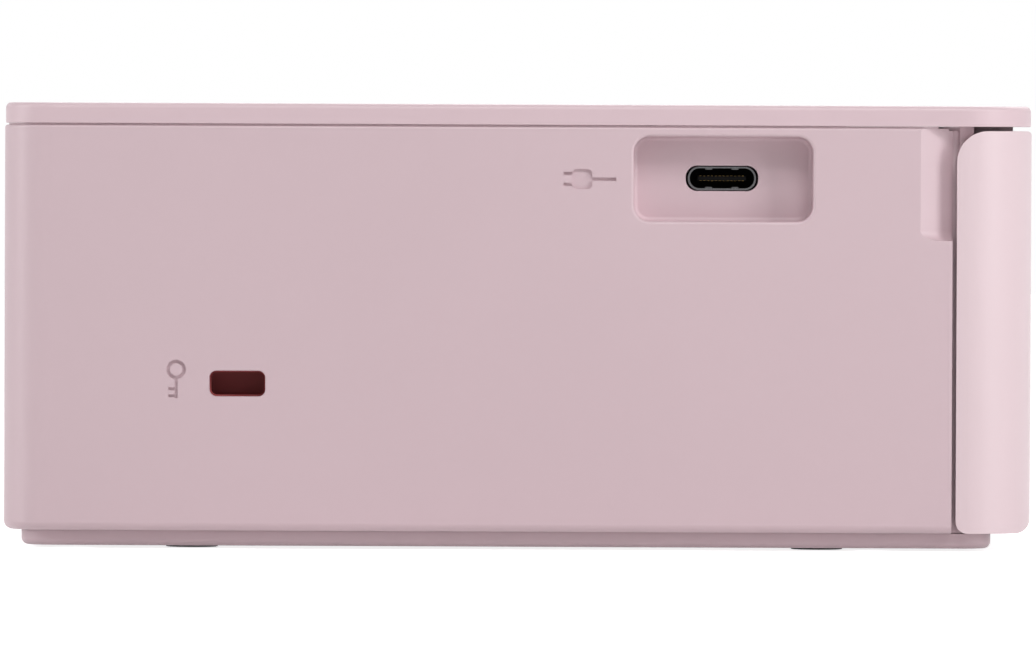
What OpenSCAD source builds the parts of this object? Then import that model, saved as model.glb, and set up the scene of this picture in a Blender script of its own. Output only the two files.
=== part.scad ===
// Compact photo printer: a dye-transfer printer for postcard-size sheets.
// Millimetres. +X is the user's right, -Y the front, +Z up.
// The origin is at the middle of the footprint, on the surface it stands on.

/* [Body] */
// Width over the side walls
body_w = 182.2; // [181:0.1:190]
// Depth from the front door to the rear wall
body_d = 133; // [132:0.5:138]
// Height from the standing surface to the top of the lid
body_h = 57.6; // [57.4:0.1:62]
// Thickness of the outer walls
wall = 2.2; // [1.8:0.1:2.4]
// Height of the body's lower edge over the standing surface
skirt_z = 2.4; // [2.2:0.1:2.6]
// Radius of the rear upright corners
rear_r = 6.5; // [5:0.5:8]
// Radius of the front upright corners
front_r = 9.9; // [9:0.1:10.3]

/* [Lid] */
// Thickness of the lid
lid_t = 2.65; // [2.2:0.05:3]
// Gap between the lid and the body
seam = 0.35; // [0.2:0.05:0.5]
// How far the lid's outline lies inside the body's
lid_inset = 0.1; // [0:0.05:0.3]
// Width of the screen window
window_w = 88; // [80:1:92]
// Depth of the screen window
window_d = 64; // [58:1:68]
// Thickness of the screen window
window_t = 1.5; // [1:0.1:1.7]
// Distance of the screen window's middle from the middle of the key field
window_x = 82; // [80:1:86]
// Thickness of the display module
display_t = 3; // [2:0.1:3.2]

/* [Keys] */
// Distance of the key field's middle from the right side
pad_x = 31.1; // [30:0.1:33]
// Middle of the key field along the body
pad_y = 0; // [-3:1:3]
// Distance of the four direction keys from the middle key
pad_r = 13; // [12.5:0.25:14]
// Diameter of the round keys
key_d = 8.5; // [7:0.25:9]
// Diameter of the middle key
ok_d = 11; // [10:0.5:12]
// Travel of a key
key_travel = 0.35; // [0.2:0.05:0.4]
// Gap round a key in the lid
key_gap = 0.25; // [0.15:0.05:0.4]

/* [Front door] */
// Depth of the door's side, round the front corner
door_side = 9.9; // [9.5:0.1:10.3]
// Gap between the door and the body
door_gap = 0.55; // [0.4:0.05:0.7]
// Distance of the door's right edge from the right side
door_right = 38.1; // [37.6:0.1:38.6]
// Height of the door's hinge axis
door_hinge_z = 4.4; // [4.3:0.05:4.6]
// Distance of the hinge axis behind the door's face
door_hinge_in = 2.9; // [2.8:0.05:3]
// Radius of the hinge studs of both doors
stud_r = 0.8; // [0.6:0.05:0.9]

/* [Ribbon door] */
// Lower edge of the opening in the right wall
side_z0 = 21.6; // [21:0.1:22]
// Distance of that opening's upper edge below the body's top edge
side_z1 = 4.2; // [3.6:0.1:5.1]
// Distance of that opening's front edge from the rear face
side_y0 = 84.5; // [83.5:0.5:86.5]
// Distance of that opening's rear edge from the rear face
side_y1 = 10.5; // [10.5:0.5:11.5]
// Gap round the ribbon door
side_gap = 0.4; // [0.3:0.05:0.5]

/* [Sockets and slots] */
// Length of the recess round the data socket
port_w = 23.1; // [20:0.1:25]
// Height of the recess round the data socket
port_h = 10.9; // [10:0.1:11.2]
// Depth of the recess round the data socket
port_deep = 4.6; // [4.4:0.1:5]
// Corner radius of the recess
port_r = 2; // [1:0.1:3]
// Middle of the recess along the body
port_y = -26.45; // [-28:0.05:-25]
// Distance of the recess's middle below the top of the lid
port_z = 9.55; // [9.3:0.05:9.8]
// Length of the security slot
lock_w = 7.2; // [7:0.1:7.5]
// Height of the security slot
lock_h = 3.3; // [3:0.1:3.5]
// Middle of the security slot along the body
lock_y = 36.2; // [30:0.1:40]
// Middle of the security slot above the standing surface
lock_z = 21.4; // [18:0.1:24]
// Width of the sheet outlet in the rear wall
outlet_w = 108; // [106:1:110]
// Diameter of the feet
foot_d = 7; // [6:0.5:9]

/* [Paper drive] */
// Height of the paper path over the standing surface
path_z = 25; // [24.8:0.1:25.1]
// Radius of the platen
platen_r = 5; // [4.5:0.1:5.2]
// Radius of the grip roller
grip_r = 3; // [2.8:0.1:3.2]
// Radius of the pinch roller
pinch_r = 2.2; // [2:0.1:2.3]
// Gap between the grip and pinch rollers, for the sheet
nip = 0.3; // [0.2:0.05:0.5]
// Radius of the pick-up roller
pickup_r = 6; // [5.5:0.1:6.1]
// Radial play of a shaft in its bearing
play = 0.05; // [0.03:0.01:0.09]
// Gear module
gear_m = 0.5; // [0.5:0.01:0.51]
// Thickness of the chassis plates
plate_t = 1.2; // [1:0.1:1.5]

/* [Ribbon] */
// Height of the spool axes
spool_z = 37.6; // [37.4:0.05:37.7]
// Radius of the full supply roll
supply_r = 6.9; // [6.5:0.1:7]
// Radius of the take-up roll
takeup_r = 5; // [4.6:0.1:6]
// Outer radius of the cassette's tubes
tube_r = 8.8; // [8.6:0.05:8.85]
// Thickness of the ribbon film
film_t = 0.08; // [0.06:0.01:0.09]
// Angle that the head arm swings down
head_swing = 6; // [5:0.1:6]

/* [Hidden] */
$fn = 64;

// Colours
pink = [0.81, 0.72, 0.74];
pale_pink = [0.90, 0.82, 0.84];
dark = [0.10, 0.10, 0.11];
grey = [0.45, 0.45, 0.47];
steel = [0.72, 0.73, 0.75];
white = [0.92, 0.92, 0.91];
green = [0.08, 0.33, 0.20];
brass = [0.75, 0.62, 0.35];

// Outer limits and the main levels
half_w = body_w / 2;
half_d = body_d / 2;
in_x = half_w - wall;
in_y = half_d - wall;
lid_z = body_h - lid_t;
shell_top = lid_z - seam;
pad_mid = half_w - pad_x;
window_mid = pad_mid - window_x;
door_end = half_w - door_right;
side_y = [half_d - side_y0, half_d - side_y1];
side_z = [side_z0, shell_top - side_z1];
port_at = [port_y, body_h - port_z];
slack = 0.1;
front_y = -half_d + door_side + door_gap;
foot_z = 0.4;
base_x = in_x - 0.3;
base_front = -half_d + 5.2;
base_rear = in_y - slack;
door_back = front_y - door_gap;
door_in_y = -half_d + wall;
door_z1 = shell_top - 0.2;
hinge_y = -half_d + door_hinge_in;

// Chassis, between the drive's space on the left and the ribbon bay on the right
drive_space = 26.1;
ribbon_space = 38.1;
left_x = -half_w + drive_space;
right_x = half_w - ribbon_space;
mid_x = (left_x + right_x) / 2;
bay_x0 = left_x + 3;
bay_x1 = right_x - 3;
bay_z0 = 6;
bay_z1 = 30;
out_x = left_x - plate_t;
print_y = in_y - 42.3;
spool_apart = 25;
platen = [print_y, path_z - platen_r];
grip = [print_y + 13, path_z - grip_r];
pinch = [grip[0], path_z + nip + pinch_r];
pickup = [print_y - 24, 21];
feed_axis = [print_y + 32.5, 12.5];
drive_axis = [print_y - 46, 38.5];
takeup = [print_y - spool_apart, spool_z];
supply = [print_y + spool_apart, spool_z];
arm_pivot = [print_y + 38, 48.8];
arm_t = 1.2;
arm_z = arm_pivot[1] - 0.6;
nose = [print_y - 2, 29.4];
cam_axis = [print_y - 6, 36];
pin_at = [cam_axis[0], 47.5];
pin_r = 1.5;
stud = 1.5;

// Gears: number of teeth, and the two layers outside the left plate
pinion_n = 12;
grip_n = 36;
step_n = 14;
reduction_n = 32;
idler_n = 46;
pickup_n = 24;
takeup_n = 32;
ribbon_idler_n = 22;
layer_gap = 1.2;
near_x = out_x - layer_gap;
gear_t = 4;
far_x = near_x - gear_t - 1;
far_t = 3;

function pitch_r(n) = n * gear_m / 2;
// Place of a gear that meshes with two others, on the given side of their line
function between(a, b, ra, rb, side) =
    let (d = norm(b - a), u = (b - a) / d, k = (ra * ra - rb * rb + d * d) / (2 * d),
        h = sqrt(ra * ra - k * k))
    a + k * u + side * h * [-u[1], u[0]];
function heading(a, b) = atan2(b[1] - a[1], b[0] - a[0]);
// Angle of a tooth of gear b that meshes with gear a, whose tooth lies at angle ta
function mesh(a, b, na, nb, ta) =
    let (t = heading(a, b)) t + 180 - (na / nb) * (ta - t) - 180 / nb;

reduction = between(feed_axis, grip, pitch_r(pinion_n + reduction_n),
    pitch_r(step_n + grip_n), -1);
idler = between(grip, pickup, pitch_r(grip_n + idler_n), pitch_r(idler_n + pickup_n), 1);
ribbon_idler_at = between(drive_axis, takeup, pitch_r(pinion_n + ribbon_idler_n),
    pitch_r(ribbon_idler_n + takeup_n), -1);
step_turn = mesh(grip, reduction, grip_n, step_n, 0);
pinion_turn = mesh(reduction, feed_axis, reduction_n, pinion_n, 0);
idler_turn = mesh(grip, idler, grip_n, idler_n, 0);
pickup_turn = mesh(idler, pickup, idler_n, pickup_n, idler_turn);
ribbon_idler_turn = mesh(takeup, ribbon_idler_at, takeup_n, ribbon_idler_n, 0);
ribbon_pinion_turn = mesh(ribbon_idler_at, drive_axis, ribbon_idler_n, pinion_n,
    ribbon_idler_turn);

// ---- Shared shapes ----

// A block between two values on each axis
module block(x, y, z) {
    translate([x[0], y[0], z[0]]) cube([x[1] - x[0], y[1] - y[0], z[1] - z[0]]);
}

// A cylinder along X at [y, z]
module xcyl(r, x, at) {
    translate([x[0], at[0], at[1]]) rotate([0, 90, 0]) cylinder(r = r, h = x[1] - x[0]);
}

// A cylinder along Y at [x, z]
module ycyl(r, y, at) {
    translate([at[0], y[1], at[1]]) rotate([90, 0, 0]) cylinder(r = r, h = y[1] - y[0]);
}

// An upright cylinder at [x, y]
module zcyl(r, z, at) {
    translate([at[0], at[1], z[0]]) cylinder(r = r, h = z[1] - z[0]);
}

// A YZ outline carried along X
module along_x(x) {
    translate([x[0], 0, 0]) rotate([90, 0, 90]) linear_extrude(x[1] - x[0]) children();
}

// A rectangle with one radius for the front corners and one for the rear ones
module plan(x, y, rf, rr) {
    difference() {
        translate([x[0], y[0]]) square([x[1] - x[0], y[1] - y[0]]);
        for (s = [0, 1]) {
            corner([x[s], y[0]], rf, [1 - 2 * s, 1]);
            corner([x[s], y[1]], rr, [1 - 2 * s, -1]);
        }
    }
}

// What a corner of radius r loses; d points from the corner into the shape
module corner(at, r, d) {
    translate(at) mirror([d[0] < 0 ? 1 : 0, 0]) mirror([0, d[1] < 0 ? 1 : 0])
        difference() {
            translate([-1, -1]) square(r + 1);
            translate([r, r]) circle(r);
        }
}

// The footprint, drawn in by a distance
module footprint(inset) {
    plan([-half_w + inset, half_w - inset], [-half_d + inset, half_d - inset],
        front_r - inset, rear_r - inset);
}

// A rounded slot through a wall that faces X, at [y, z]
module wall_slot(x, at, w, h, r) {
    along_x(x) plan([at[0] - w / 2, at[0] + w / 2], [at[1] - h / 2, at[1] + h / 2], r, r);
}

// ---- Base ----

screw_at = [for (x = [-half_w + 6.6, half_w - 6.6], y = [front_y + 10.05, in_y - 6.8]) [x, y]];
foot_at = [for (x = [-half_w + 13.1, half_w - 13.1], y = [-half_d + 27.6, half_d - 24.25]) [x, y]];
board_x = [left_x + 29, right_x - 3];
board_y = [in_y - 51.3, in_y - 2.8];
board_hole_in = 4;
board_holes = [for (x = [board_x[0] + board_hole_in, board_x[1] - board_hole_in],
    y = [board_y[0] + board_hole_in, board_y[1] - board_hole_in]) [x, y]];
bracket_x = [[-half_w + 7.1, -half_w + 10.1], [door_end - 7, door_end - 4]];
eye_r = 1.7;
lip_t = 1.5;

module base_cover() {
    color(pink) difference() {
        union() {
            translate([0, 0, foot_z]) linear_extrude(skirt_z - foot_z)
                plan([-base_x, base_x], [front_y, base_rear], 2, rear_r - wall);
            translate([0, 0, foot_z]) linear_extrude(skirt_z - foot_z - 0.4)
                plan([-base_x, base_x], [base_front, front_y + 3], 4, 1);
            translate([0, 0, foot_z]) linear_extrude(skirt_z - foot_z + 3) difference() {
                plan([-base_x, base_x], [front_y + 2.5, base_rear], 1, rear_r - wall);
                plan([-base_x + lip_t, base_x - lip_t], [front_y + 2.5 + lip_t, base_rear - lip_t],
                    0.6, rear_r - wall - lip_t);
            }
            for (x = bracket_x) {
                block(x, [base_front + 0.6, front_y - 0.5], [foot_z + 1, door_hinge_z + 1]);
                block(x, [hinge_y, base_front + 1], [door_hinge_z - eye_r, door_hinge_z + 1]);
                xcyl(eye_r, x, [hinge_y, door_hinge_z]);
            }
            for (p = board_holes) zcyl(3, [skirt_z - 0.5, bay_z0], p);
        }
        block([bay_x0 - 1.8, bay_x1 + 1.8], [front_y + 2, front_y + 5], [skirt_z, skirt_z + 4]);
        for (x = bracket_x) xcyl(stud_r + play, [x[0] - 1, x[1] + 1], [hinge_y, door_hinge_z]);
        for (p = foot_at) zcyl(foot_d / 2, [0, foot_z + 0.8], p);
        for (p = screw_at) {
            zcyl(2.6, [0, foot_z + 1.2], p);
            zcyl(1.35, [0, skirt_z + 4], p);
        }
        for (k = [0 : 4]) block([pad_mid + 4 * k, pad_mid + 4 * k + 1.6],
            [pickup[0] - 8, pickup[0] + 22], [0, skirt_z + 1]);
    }
}

module rubber_feet() {
    color(dark) for (p = foot_at) zcyl(foot_d / 2, [0, foot_z + 0.8], p);
}

module base_screws() {
    color(steel) for (p = screw_at) difference() {
        union() {
            zcyl(2.5, [foot_z + 0.1, foot_z + 1.2], p);
            zcyl(1.3, [foot_z + 1, skirt_z + 8], p);
        }
        for (a = [0, 90]) translate([p[0], p[1], foot_z]) rotate([0, 0, a])
            translate([-1.3, -0.3, 0]) cube([2.6, 0.6, 0.7]);
    }
}

// ---- Body ----

pocket_x = -half_w + port_deep;
scoop_axis = [-half_w - 0.8, front_y - 1.15];
scoop_r = norm([0.8, 5.1]);
scoop_z = shell_top - 14.4;
outlet_x = [mid_x - outlet_w / 2, mid_x + outlet_w / 2];
outlet_z = [path_z - 1.6, path_z + 4];
jack_at = [half_w - 16.1, 14.5];
jack_r = 3.2;
jack_long = 11.8;
usb_z = port_at[1] + 0.1;
usb_y = port_at[0] + 0.15;
usb_board_x = [pocket_x + wall - 0.5, pocket_x + 16.5];
socket_w = 9.4;
socket_h = 3.3;
vent_z = [shell_top - 20.6, shell_top - 8.6];

module body_shell() {
    color(pink) difference() {
        union() {
            translate([0, 0, skirt_z]) linear_extrude(shell_top - skirt_z) difference() {
                footprint(0);
                footprint(wall);
                translate([-half_w - 1, -half_d - 1]) square([body_w + 2, half_d + front_y + 1]);
            }
            wall_slot([-half_w + 0.5, pocket_x + wall - 0.6], port_at, port_w + 3,
                port_h + 2.4, 2);
            scoop_liner();
            for (y = [port_y - 9, port_y + 9])
                block([-in_x - 1, usb_board_x[1] - 2], [y - 0.8, y + 0.8],
                    [usb_z - 10.15, usb_z - 2.9]);
            for (y = [side_y[0] - 2.2, side_y[1] + 0.1])
                block([half_w - 3.9, in_x + 0.5], [y, y + 2.1], [side_z[0] - 1, side_z[0] + 4]);
            for (p = screw_at) {
                zcyl(3, [skirt_z + 3.6, 24], p);
                block(p[0] < 0 ? [-in_x - 1, p[0]] : [p[0], in_x + 1],
                    [p[1] - 1, p[1] + 1], [skirt_z + 3.6, 24]);
            }
        }
        wall_slot([-half_w - 1, pocket_x], port_at, port_w, port_h, port_r);
        wall_slot([pocket_x - 1, pocket_x + 6.5], [usb_y, usb_z], socket_w, socket_h, 1.5);
        wall_slot([-half_w - 1, -in_x + 1], [lock_y, lock_z], lock_w, lock_h, 0.9);
        zcyl(scoop_r, [scoop_z, shell_top + 1], scoop_axis);
        block([in_x - 0.2, half_w + 1], side_y, side_z);
        ycyl(stud_r + play, [side_y[0] - 2, side_y[1] + 2], side_hinge);
        block(outlet_x, [in_y - 1, half_d + 1], outlet_z);
        ycyl(jack_r, [in_y - 1, half_d + 1], jack_at);
        for (k = [0 : 6]) block([pad_mid - 2 + 4 * k, pad_mid - 0.2 + 4 * k],
            [in_y - 1, half_d + 1], vent_z);
        for (p = screw_at) zcyl(1.3, [0, 22], p);
        plug_mark();
        key_mark();
    }
}

// Wall behind the finger scoop
module scoop_liner() {
    intersection() {
        zcyl(scoop_r + 1.5, [scoop_z - 1.5, shell_top], scoop_axis);
        block([-in_x - 0.5, -in_x + 9], [front_y, front_y + 9], [scoop_z - 1.5, shell_top]);
    }
}

// Plain engraved pictogram of a plug and its lead, facing -X
mark_deep = 0.25;
mark_x = [-half_w - 1, -half_w + mark_deep];
module plug_mark() {
    translate([0, port_at[0] + 17.25, port_at[1] - 0.05]) {
        block(mark_x, [-3.4, -0.2], [-0.2, 0.2]);
        wall_slot(mark_x, [1, 0], 2.6, 2.2, 0.5);
        for (z = [-0.65, 0.65]) block(mark_x, [2.3, 3.4], [z - 0.17, z + 0.17]);
    }
}

// Plain engraved pictogram of a key, facing -X
module key_mark() {
    translate([0, lock_y + 7.9, lock_z + 0.6]) difference() {
        union() {
            xcyl(1.25, mark_x, [0, 1.2]);
            block(mark_x, [-0.2, 0.2], [-2.5, 0]);
            for (z = [-2.4, -1.5]) block(mark_x, [0.1, 1], [z, z + 0.4]);
        }
        xcyl(0.8, [mark_x[0] - 1, mark_x[1] + 1], [0, 1.2]);
    }
}

// Hinge axis of the ribbon door at [x, z]
side_hinge = [half_w - 1.5, side_z[0] + side_gap + 1.5];

module front_frame() {
    color(pink) difference() {
        block([-in_x + slack, in_x - slack], [front_y, front_y + 2], [skirt_z, shell_top - 0.3]);
        block([bay_x0, bay_x1], [front_y - 1, front_y + 3], [bay_z0, bay_z1]);
        block([-half_w, scoop_axis[0] + scoop_r + 2.3], [front_y - 1, front_y + 3],
            [scoop_z - 1.7, body_h]);
        block([card_x[0] - 1.2, card_x[1] + 1.2], [front_y - 1, front_y + 3],
            [card_z[0] - 1.4, card_z[1] + 1.1]);
    }
}

card_z = [29.2, 31.3];
card_deep = 27.3;
card_x = [door_end + 3.4, half_w - 10.7];
module front_panel() {
    color(pale_pink) difference() {
        union() {
            translate([0, 0, skirt_z]) linear_extrude(door_z1 - skirt_z) difference() {
                intersection() {
                    footprint(0);
                    translate([door_end + 0.4, -half_d]) square([half_w, half_d + front_y]);
                }
                difference() {
                    footprint(wall);
                    translate([door_end, -half_d]) square([2.4, half_d]);
                }
            }
        }
        block(card_x, [-half_d - 1, door_in_y + 1], card_z);
    }
}

module card_reader() {
    color(steel) difference() {
        block([card_x[0] - 0.7, card_x[1] + 0.7], [door_in_y, door_in_y + card_deep + 3],
            [card_z[0] - 1.2, card_z[1] + 0.9]);
        block(card_x, [door_in_y - 1, door_in_y + card_deep], card_z);
    }
}

// ---- Lid, screen and keys ----

window_y = 2;
ledge = 4;
board_top = lid_z - 3.65;
switch_top = board_top + 1.2;
flange_z = [lid_z - 1.05, lid_z - 0.05];
control_x = [pad_mid - 28, half_w - 4.1];
control_y = [pad_y - 42, arm_pivot[0] - 6];
power_at = [pad_mid + 16, control_y[1] - 8];
menu_at = [pad_mid - 18, pad_y + 28];
back_at = [pad_mid + 18, pad_y + 28];
ok_at = [pad_mid, pad_y];
up_at = [pad_mid, pad_y + pad_r];
down_at = [pad_mid, pad_y - pad_r];
left_at = [pad_mid - pad_r, pad_y];
right_at = [pad_mid + pad_r, pad_y];
print_at = [pad_mid, pad_y - 34];
print_size = [22, 11];
small_keys = [power_at, menu_at, back_at, up_at, down_at, left_at, right_at];
lid_bosses = [for (x = [control_x[0] + 3, control_x[1] - 2.5],
    y = [control_y[0] + 2.5, control_y[1] - 3]) [x, y]];
rim_h = 2.2;

module window_plan(inset) {
    plan([window_mid - window_w / 2 + inset, window_mid + window_w / 2 - inset],
        [window_y - window_d / 2 + inset, window_y + window_d / 2 - inset], 3 - inset / 2,
        3 - inset / 2);
}

module print_plan(grow) {
    plan([print_at[0] - print_size[0] / 2 - grow, print_at[0] + print_size[0] / 2 + grow],
        [print_at[1] - print_size[1] / 2 - grow, print_at[1] + print_size[1] / 2 + grow],
        3 + grow, 3 + grow);
}

module top_cover() {
    color(pink) difference() {
        union() {
            translate([0, 0, lid_z]) linear_extrude(lid_t) footprint(lid_inset);
            translate([0, 0, lid_z - rim_h]) linear_extrude(rim_h + 0.5) difference() {
                footprint(wall + 0.3);
                footprint(wall + 1.6);
                translate([-half_w, -half_d]) square([body_w, half_d - 46]);
                translate([-half_w, -half_d]) square([12, half_d - 12]);
            }
            block([-half_w + 9.1, door_end - 2], [door_in_y + 0.25, door_in_y + 1.75],
                [lid_z - 2, lid_z + 0.5]);
            for (p = lid_bosses) zcyl(2, [board_top, lid_z + 0.5], p);
        }
        translate([0, 0, body_h - window_t]) linear_extrude(window_t + 1) window_plan(0);
        translate([0, 0, lid_z - 1]) linear_extrude(lid_t) window_plan(ledge);
        for (p = small_keys) zcyl(key_d / 2 + key_gap, [lid_z - 1, body_h + 1], p);
        zcyl(ok_d / 2 + key_gap, [lid_z - 1, body_h + 1], ok_at);
        translate([0, 0, lid_z - 1]) linear_extrude(lid_t + 2) print_plan(key_gap);
    }
}

module lcd_window() {
    color(dark) translate([0, 0, body_h - window_t]) linear_extrude(window_t) window_plan(0.1);
}

module lcd_module() {
    color(grey) translate([0, 0, lid_z - display_t]) linear_extrude(display_t)
        window_plan(ledge - 2);
}

module control_board() {
    color(green) difference() {
        block(control_x, control_y, [board_top - 1.4, board_top]);
        for (p = lid_bosses) zcyl(0.8, [board_top - 3, board_top + 1], p);
    }
}

module tact_switches() {
    color(grey) for (p = concat(small_keys, [ok_at, print_at])) {
        block([p[0] - 2.3, p[0] + 2.3], [p[1] - 2.3, p[1] + 2.3], [board_top, board_top + 0.9]);
        zcyl(1, [board_top + 0.9, switch_top], p);
    }
}

key_top = body_h - 0.15;
stem_z = switch_top + key_travel + 0.05;
module round_key(p, d) {
    color(pale_pink) {
        zcyl(d / 2, [flange_z[0], key_top], p);
        zcyl(d / 2 + 1, flange_z, p);
        zcyl(1.5, [stem_z, flange_z[0]], p);
    }
}

module power_key() { round_key(power_at, key_d); }
module menu_key() { round_key(menu_at, key_d); }
module back_key() { round_key(back_at, key_d); }
module ok_key() { round_key(ok_at, ok_d); }
module up_key() { round_key(up_at, key_d); }
module down_key() { round_key(down_at, key_d); }
module left_key() { round_key(left_at, key_d); }
module right_key() { round_key(right_at, key_d); }
module print_key() {
    color(white) {
        translate([0, 0, flange_z[0]]) linear_extrude(key_top - flange_z[0]) print_plan(0);
        translate([0, 0, flange_z[0]]) linear_extrude(1) print_plan(1);
        zcyl(1.5, [stem_z, flange_z[0]], print_at);
    }
}

// ---- Doors ----

lug_gap = 0.3;
module front_door() {
    color(pale_pink) difference() {
        union() {
            intersection() {
                translate([0, 0, skirt_z]) linear_extrude(door_z1 - skirt_z) difference() {
                    intersection() {
                        footprint(0);
                        translate([-half_w, -half_d])
                            square([half_w + door_end, door_back + half_d]);
                    }
                    footprint(wall);
                }
                along_x([-half_w - 1, door_end + 1]) difference() {
                    translate([-half_d, skirt_z]) square([door_side, door_z1 - skirt_z]);
                    corner([-half_d, skirt_z], door_hinge_z - skirt_z, [1, 1]);
                    corner([door_back, skirt_z], 1.5, [-1, 1]);
                    corner([door_back, door_z1], 4, [-1, -1]);
                    corner([-half_d, door_z1], 0.6, [1, -1]);
                }
            }
            door_lug([bracket_x[0][1] + lug_gap, bracket_x[0][1] + 3]);
            door_lug([bracket_x[1][0] - 3, bracket_x[1][0] - lug_gap]);
        }
        for (x = bracket_x) {
            xcyl(eye_r + 0.25, [x[0] - 0.25, x[1] + 0.25], [hinge_y, door_hinge_z]);
            block([x[0] - 0.25, x[1] + 0.25], [hinge_y - eye_r - 0.25, hinge_y + 1],
                [0, door_hinge_z]);
        }
    }
    color(pale_pink) for (x = [[bracket_x[0][0] + 0.2, bracket_x[0][1] + lug_gap + 0.5],
        [bracket_x[1][0] - lug_gap - 0.5, bracket_x[1][1] - 0.2]])
        xcyl(stud_r, x, [hinge_y, door_hinge_z]);
}

// Lug on the door's inner face that carries a hinge stud
module door_lug(x) {
    xcyl(1.8, x, [hinge_y, door_hinge_z]);
    block(x, [door_in_y - 0.5, hinge_y], [door_hinge_z - 1.5, door_hinge_z + 2.5]);
}

side_door_y = [side_y[0] + side_gap, side_y[1] - side_gap];
side_door_z = [side_z[0] + side_gap, side_z[1] - side_gap];
notch_w = 18;
module ribbon_door() {
    color(pink) {
        difference() {
            block([in_x, half_w], side_door_y, side_door_z);
            difference() {
                block([side_hinge[0], half_w + 1], [side_door_y[0] - 1, side_door_y[1] + 1],
                    [side_door_z[0] - 1, side_hinge[1]]);
                ycyl(1.5, [side_door_y[0] - 2, side_door_y[1] + 2], side_hinge);
            }
            ycyl(1.3, [(side_y[0] + side_y[1] - notch_w) / 2, (side_y[0] + side_y[1] + notch_w) / 2],
                [half_w + 0.2, side_door_z[1] + 0.2]);
        }
        for (y = [side_door_y[0] - 1.8, side_door_y[1] - 1])
            ycyl(stud_r, [y, y + 2.8], side_hinge);
    }
}

// ---- Sockets ----

module tongue_slot(x, w, h) { wall_slot(x, [usb_y, usb_z], w, h, h / 2 - 0.02); }

module usb_shell() {
    color(steel) difference() {
        tongue_slot([pocket_x + 0.3, pocket_x + 7.5], 8.94, 3.2);
        tongue_slot([pocket_x, pocket_x + 7], 8.34, 2.6);
    }
}

module usb_tongue() {
    color(dark) block([pocket_x + 1, pocket_x + 7], [usb_y - 3.15, usb_y + 3.15],
        [usb_z - 0.3, usb_z + 0.3]);
}

module usb_board() {
    color(green) block(usb_board_x, [port_y - 10.5, port_y + 10.5],
        [usb_z - 2.85, usb_z - 1.65]);
}

module lock_plate() {
    color(dark) difference() {
        block([-in_x, -in_x + 5], [lock_y - lock_w / 2 - 1.5, lock_y + lock_w / 2 + 1.5],
            [lock_z - lock_h / 2 - 1.5, lock_z + lock_h / 2 + 1.5]);
        wall_slot([-in_x - 1, -in_x + 4], [lock_y, lock_z], lock_w - 0.4, lock_h - 0.4, 0.7);
    }
}

module dc_jack() {
    color(dark) {
        difference() {
            block([jack_at[0] - 5.5, jack_at[0] + 5.5], [in_y - jack_long, in_y],
                [jack_at[1] - 5.5, jack_at[1] + 5.5]);
            ycyl(jack_r - 0.4, [in_y - jack_long + 2, in_y + 1], jack_at);
        }
        ycyl(0.8, [in_y - jack_long + 1.5, in_y - 0.5], jack_at);
    }
}

// ---- Boards ----

module main_board() {
    color(green) difference() {
        block(board_x, board_y, [bay_z0, bay_z0 + 1.6]);
        for (p = board_holes) zcyl(1.3, [bay_z0 - 1, bay_z0 + 2], p);
    }
}

module board_parts() {
    color(dark) {
        translate([board_x[0], board_y[0], bay_z0 + 1.6]) {
            block([6, 22], [3, 7], [0, 4]);
            block([8, 18], [17, 31], [0, 1.6]);
            block([26, 40], [13, 27], [0, 1.4]);
            block([46, 56], [15, 25], [0, 1.2]);
            for (x = [20 : 8 : 44]) block([x, x + 4], [33, 36], [0, 1]);
        }
        translate([board_x[1], board_y[0], bay_z0 + 1.6]) {
            block([-22, -6], [3, 7], [0, 4]);
            for (x = [-24 : 9 : -6]) zcyl(3.2, [0, 7], [x, 39.5]);
        }
    }
}

// ---- Chassis ----

plate_y = [print_y - 56, base_rear - lip_t - 0.3];
plate_top = 47;
ear_y = arm_pivot[0] - 2.5;
ear_top = arm_pivot[1] + 3.2;
feet_y = [plate_y[0] + 6, plate_y[0] + 38, plate_y[0] + 82];
bearings = [[pickup, 2], [platen, 2.5], [grip, 2]];
bush_t = 1.2;

// Holes that both plates have
module shaft_holes(x) {
    for (b = bearings) xcyl(b[1] + play + bush_t, x, b[0]);
    xcyl(pin_r + play, x, pinch);
    xcyl(pin_r + play, x, arm_pivot);
}

// A foot bent in from a plate's lower edge
module plate_foot(x, y) {
    difference() {
        block(x, [y, y + 8], [skirt_z, skirt_z + plate_t]);
        zcyl(1.3, [0, skirt_z + 3], [(x[0] + x[1]) / 2, y + 4]);
    }
}

module gear_stud(at, tip) {
    xcyl(stud, [tip, out_x + 0.5], at);
    xcyl(stud + 1, [near_x + 0.1, out_x + 0.5], at);
}

module chassis_left() {
    color(steel) difference() {
        union() {
            along_x([out_x, left_x]) polygon([[plate_y[0], skirt_z], [plate_y[1], skirt_z],
                [plate_y[1], ear_top], [ear_y - 1.5, ear_top], [ear_y - 1.5, plate_top],
                [plate_y[0], plate_top]]);
            for (y = feet_y) plate_foot([left_x - 0.5, left_x + 7], y);
            for (p = [idler, ribbon_idler_at]) gear_stud(p, near_x - gear_t - 0.4);
            for (p = [reduction, cam_axis]) gear_stud(p, far_x - far_t - 0.4);
        }
        shaft_holes([out_x - 0.1, left_x + 0.1]);
        for (p = [feed_axis, drive_axis]) xcyl(2.7, [out_x - 1, left_x + 1], p);
        xcyl(3 + play, [out_x - 1, left_x + 1], takeup);
        block([out_x - 1, left_x + 1], [pin_at[0] - 2.6, pin_at[0] + 2.9],
            [pin_at[1] - 7.5, plate_top + 1]);
    }
}

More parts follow.
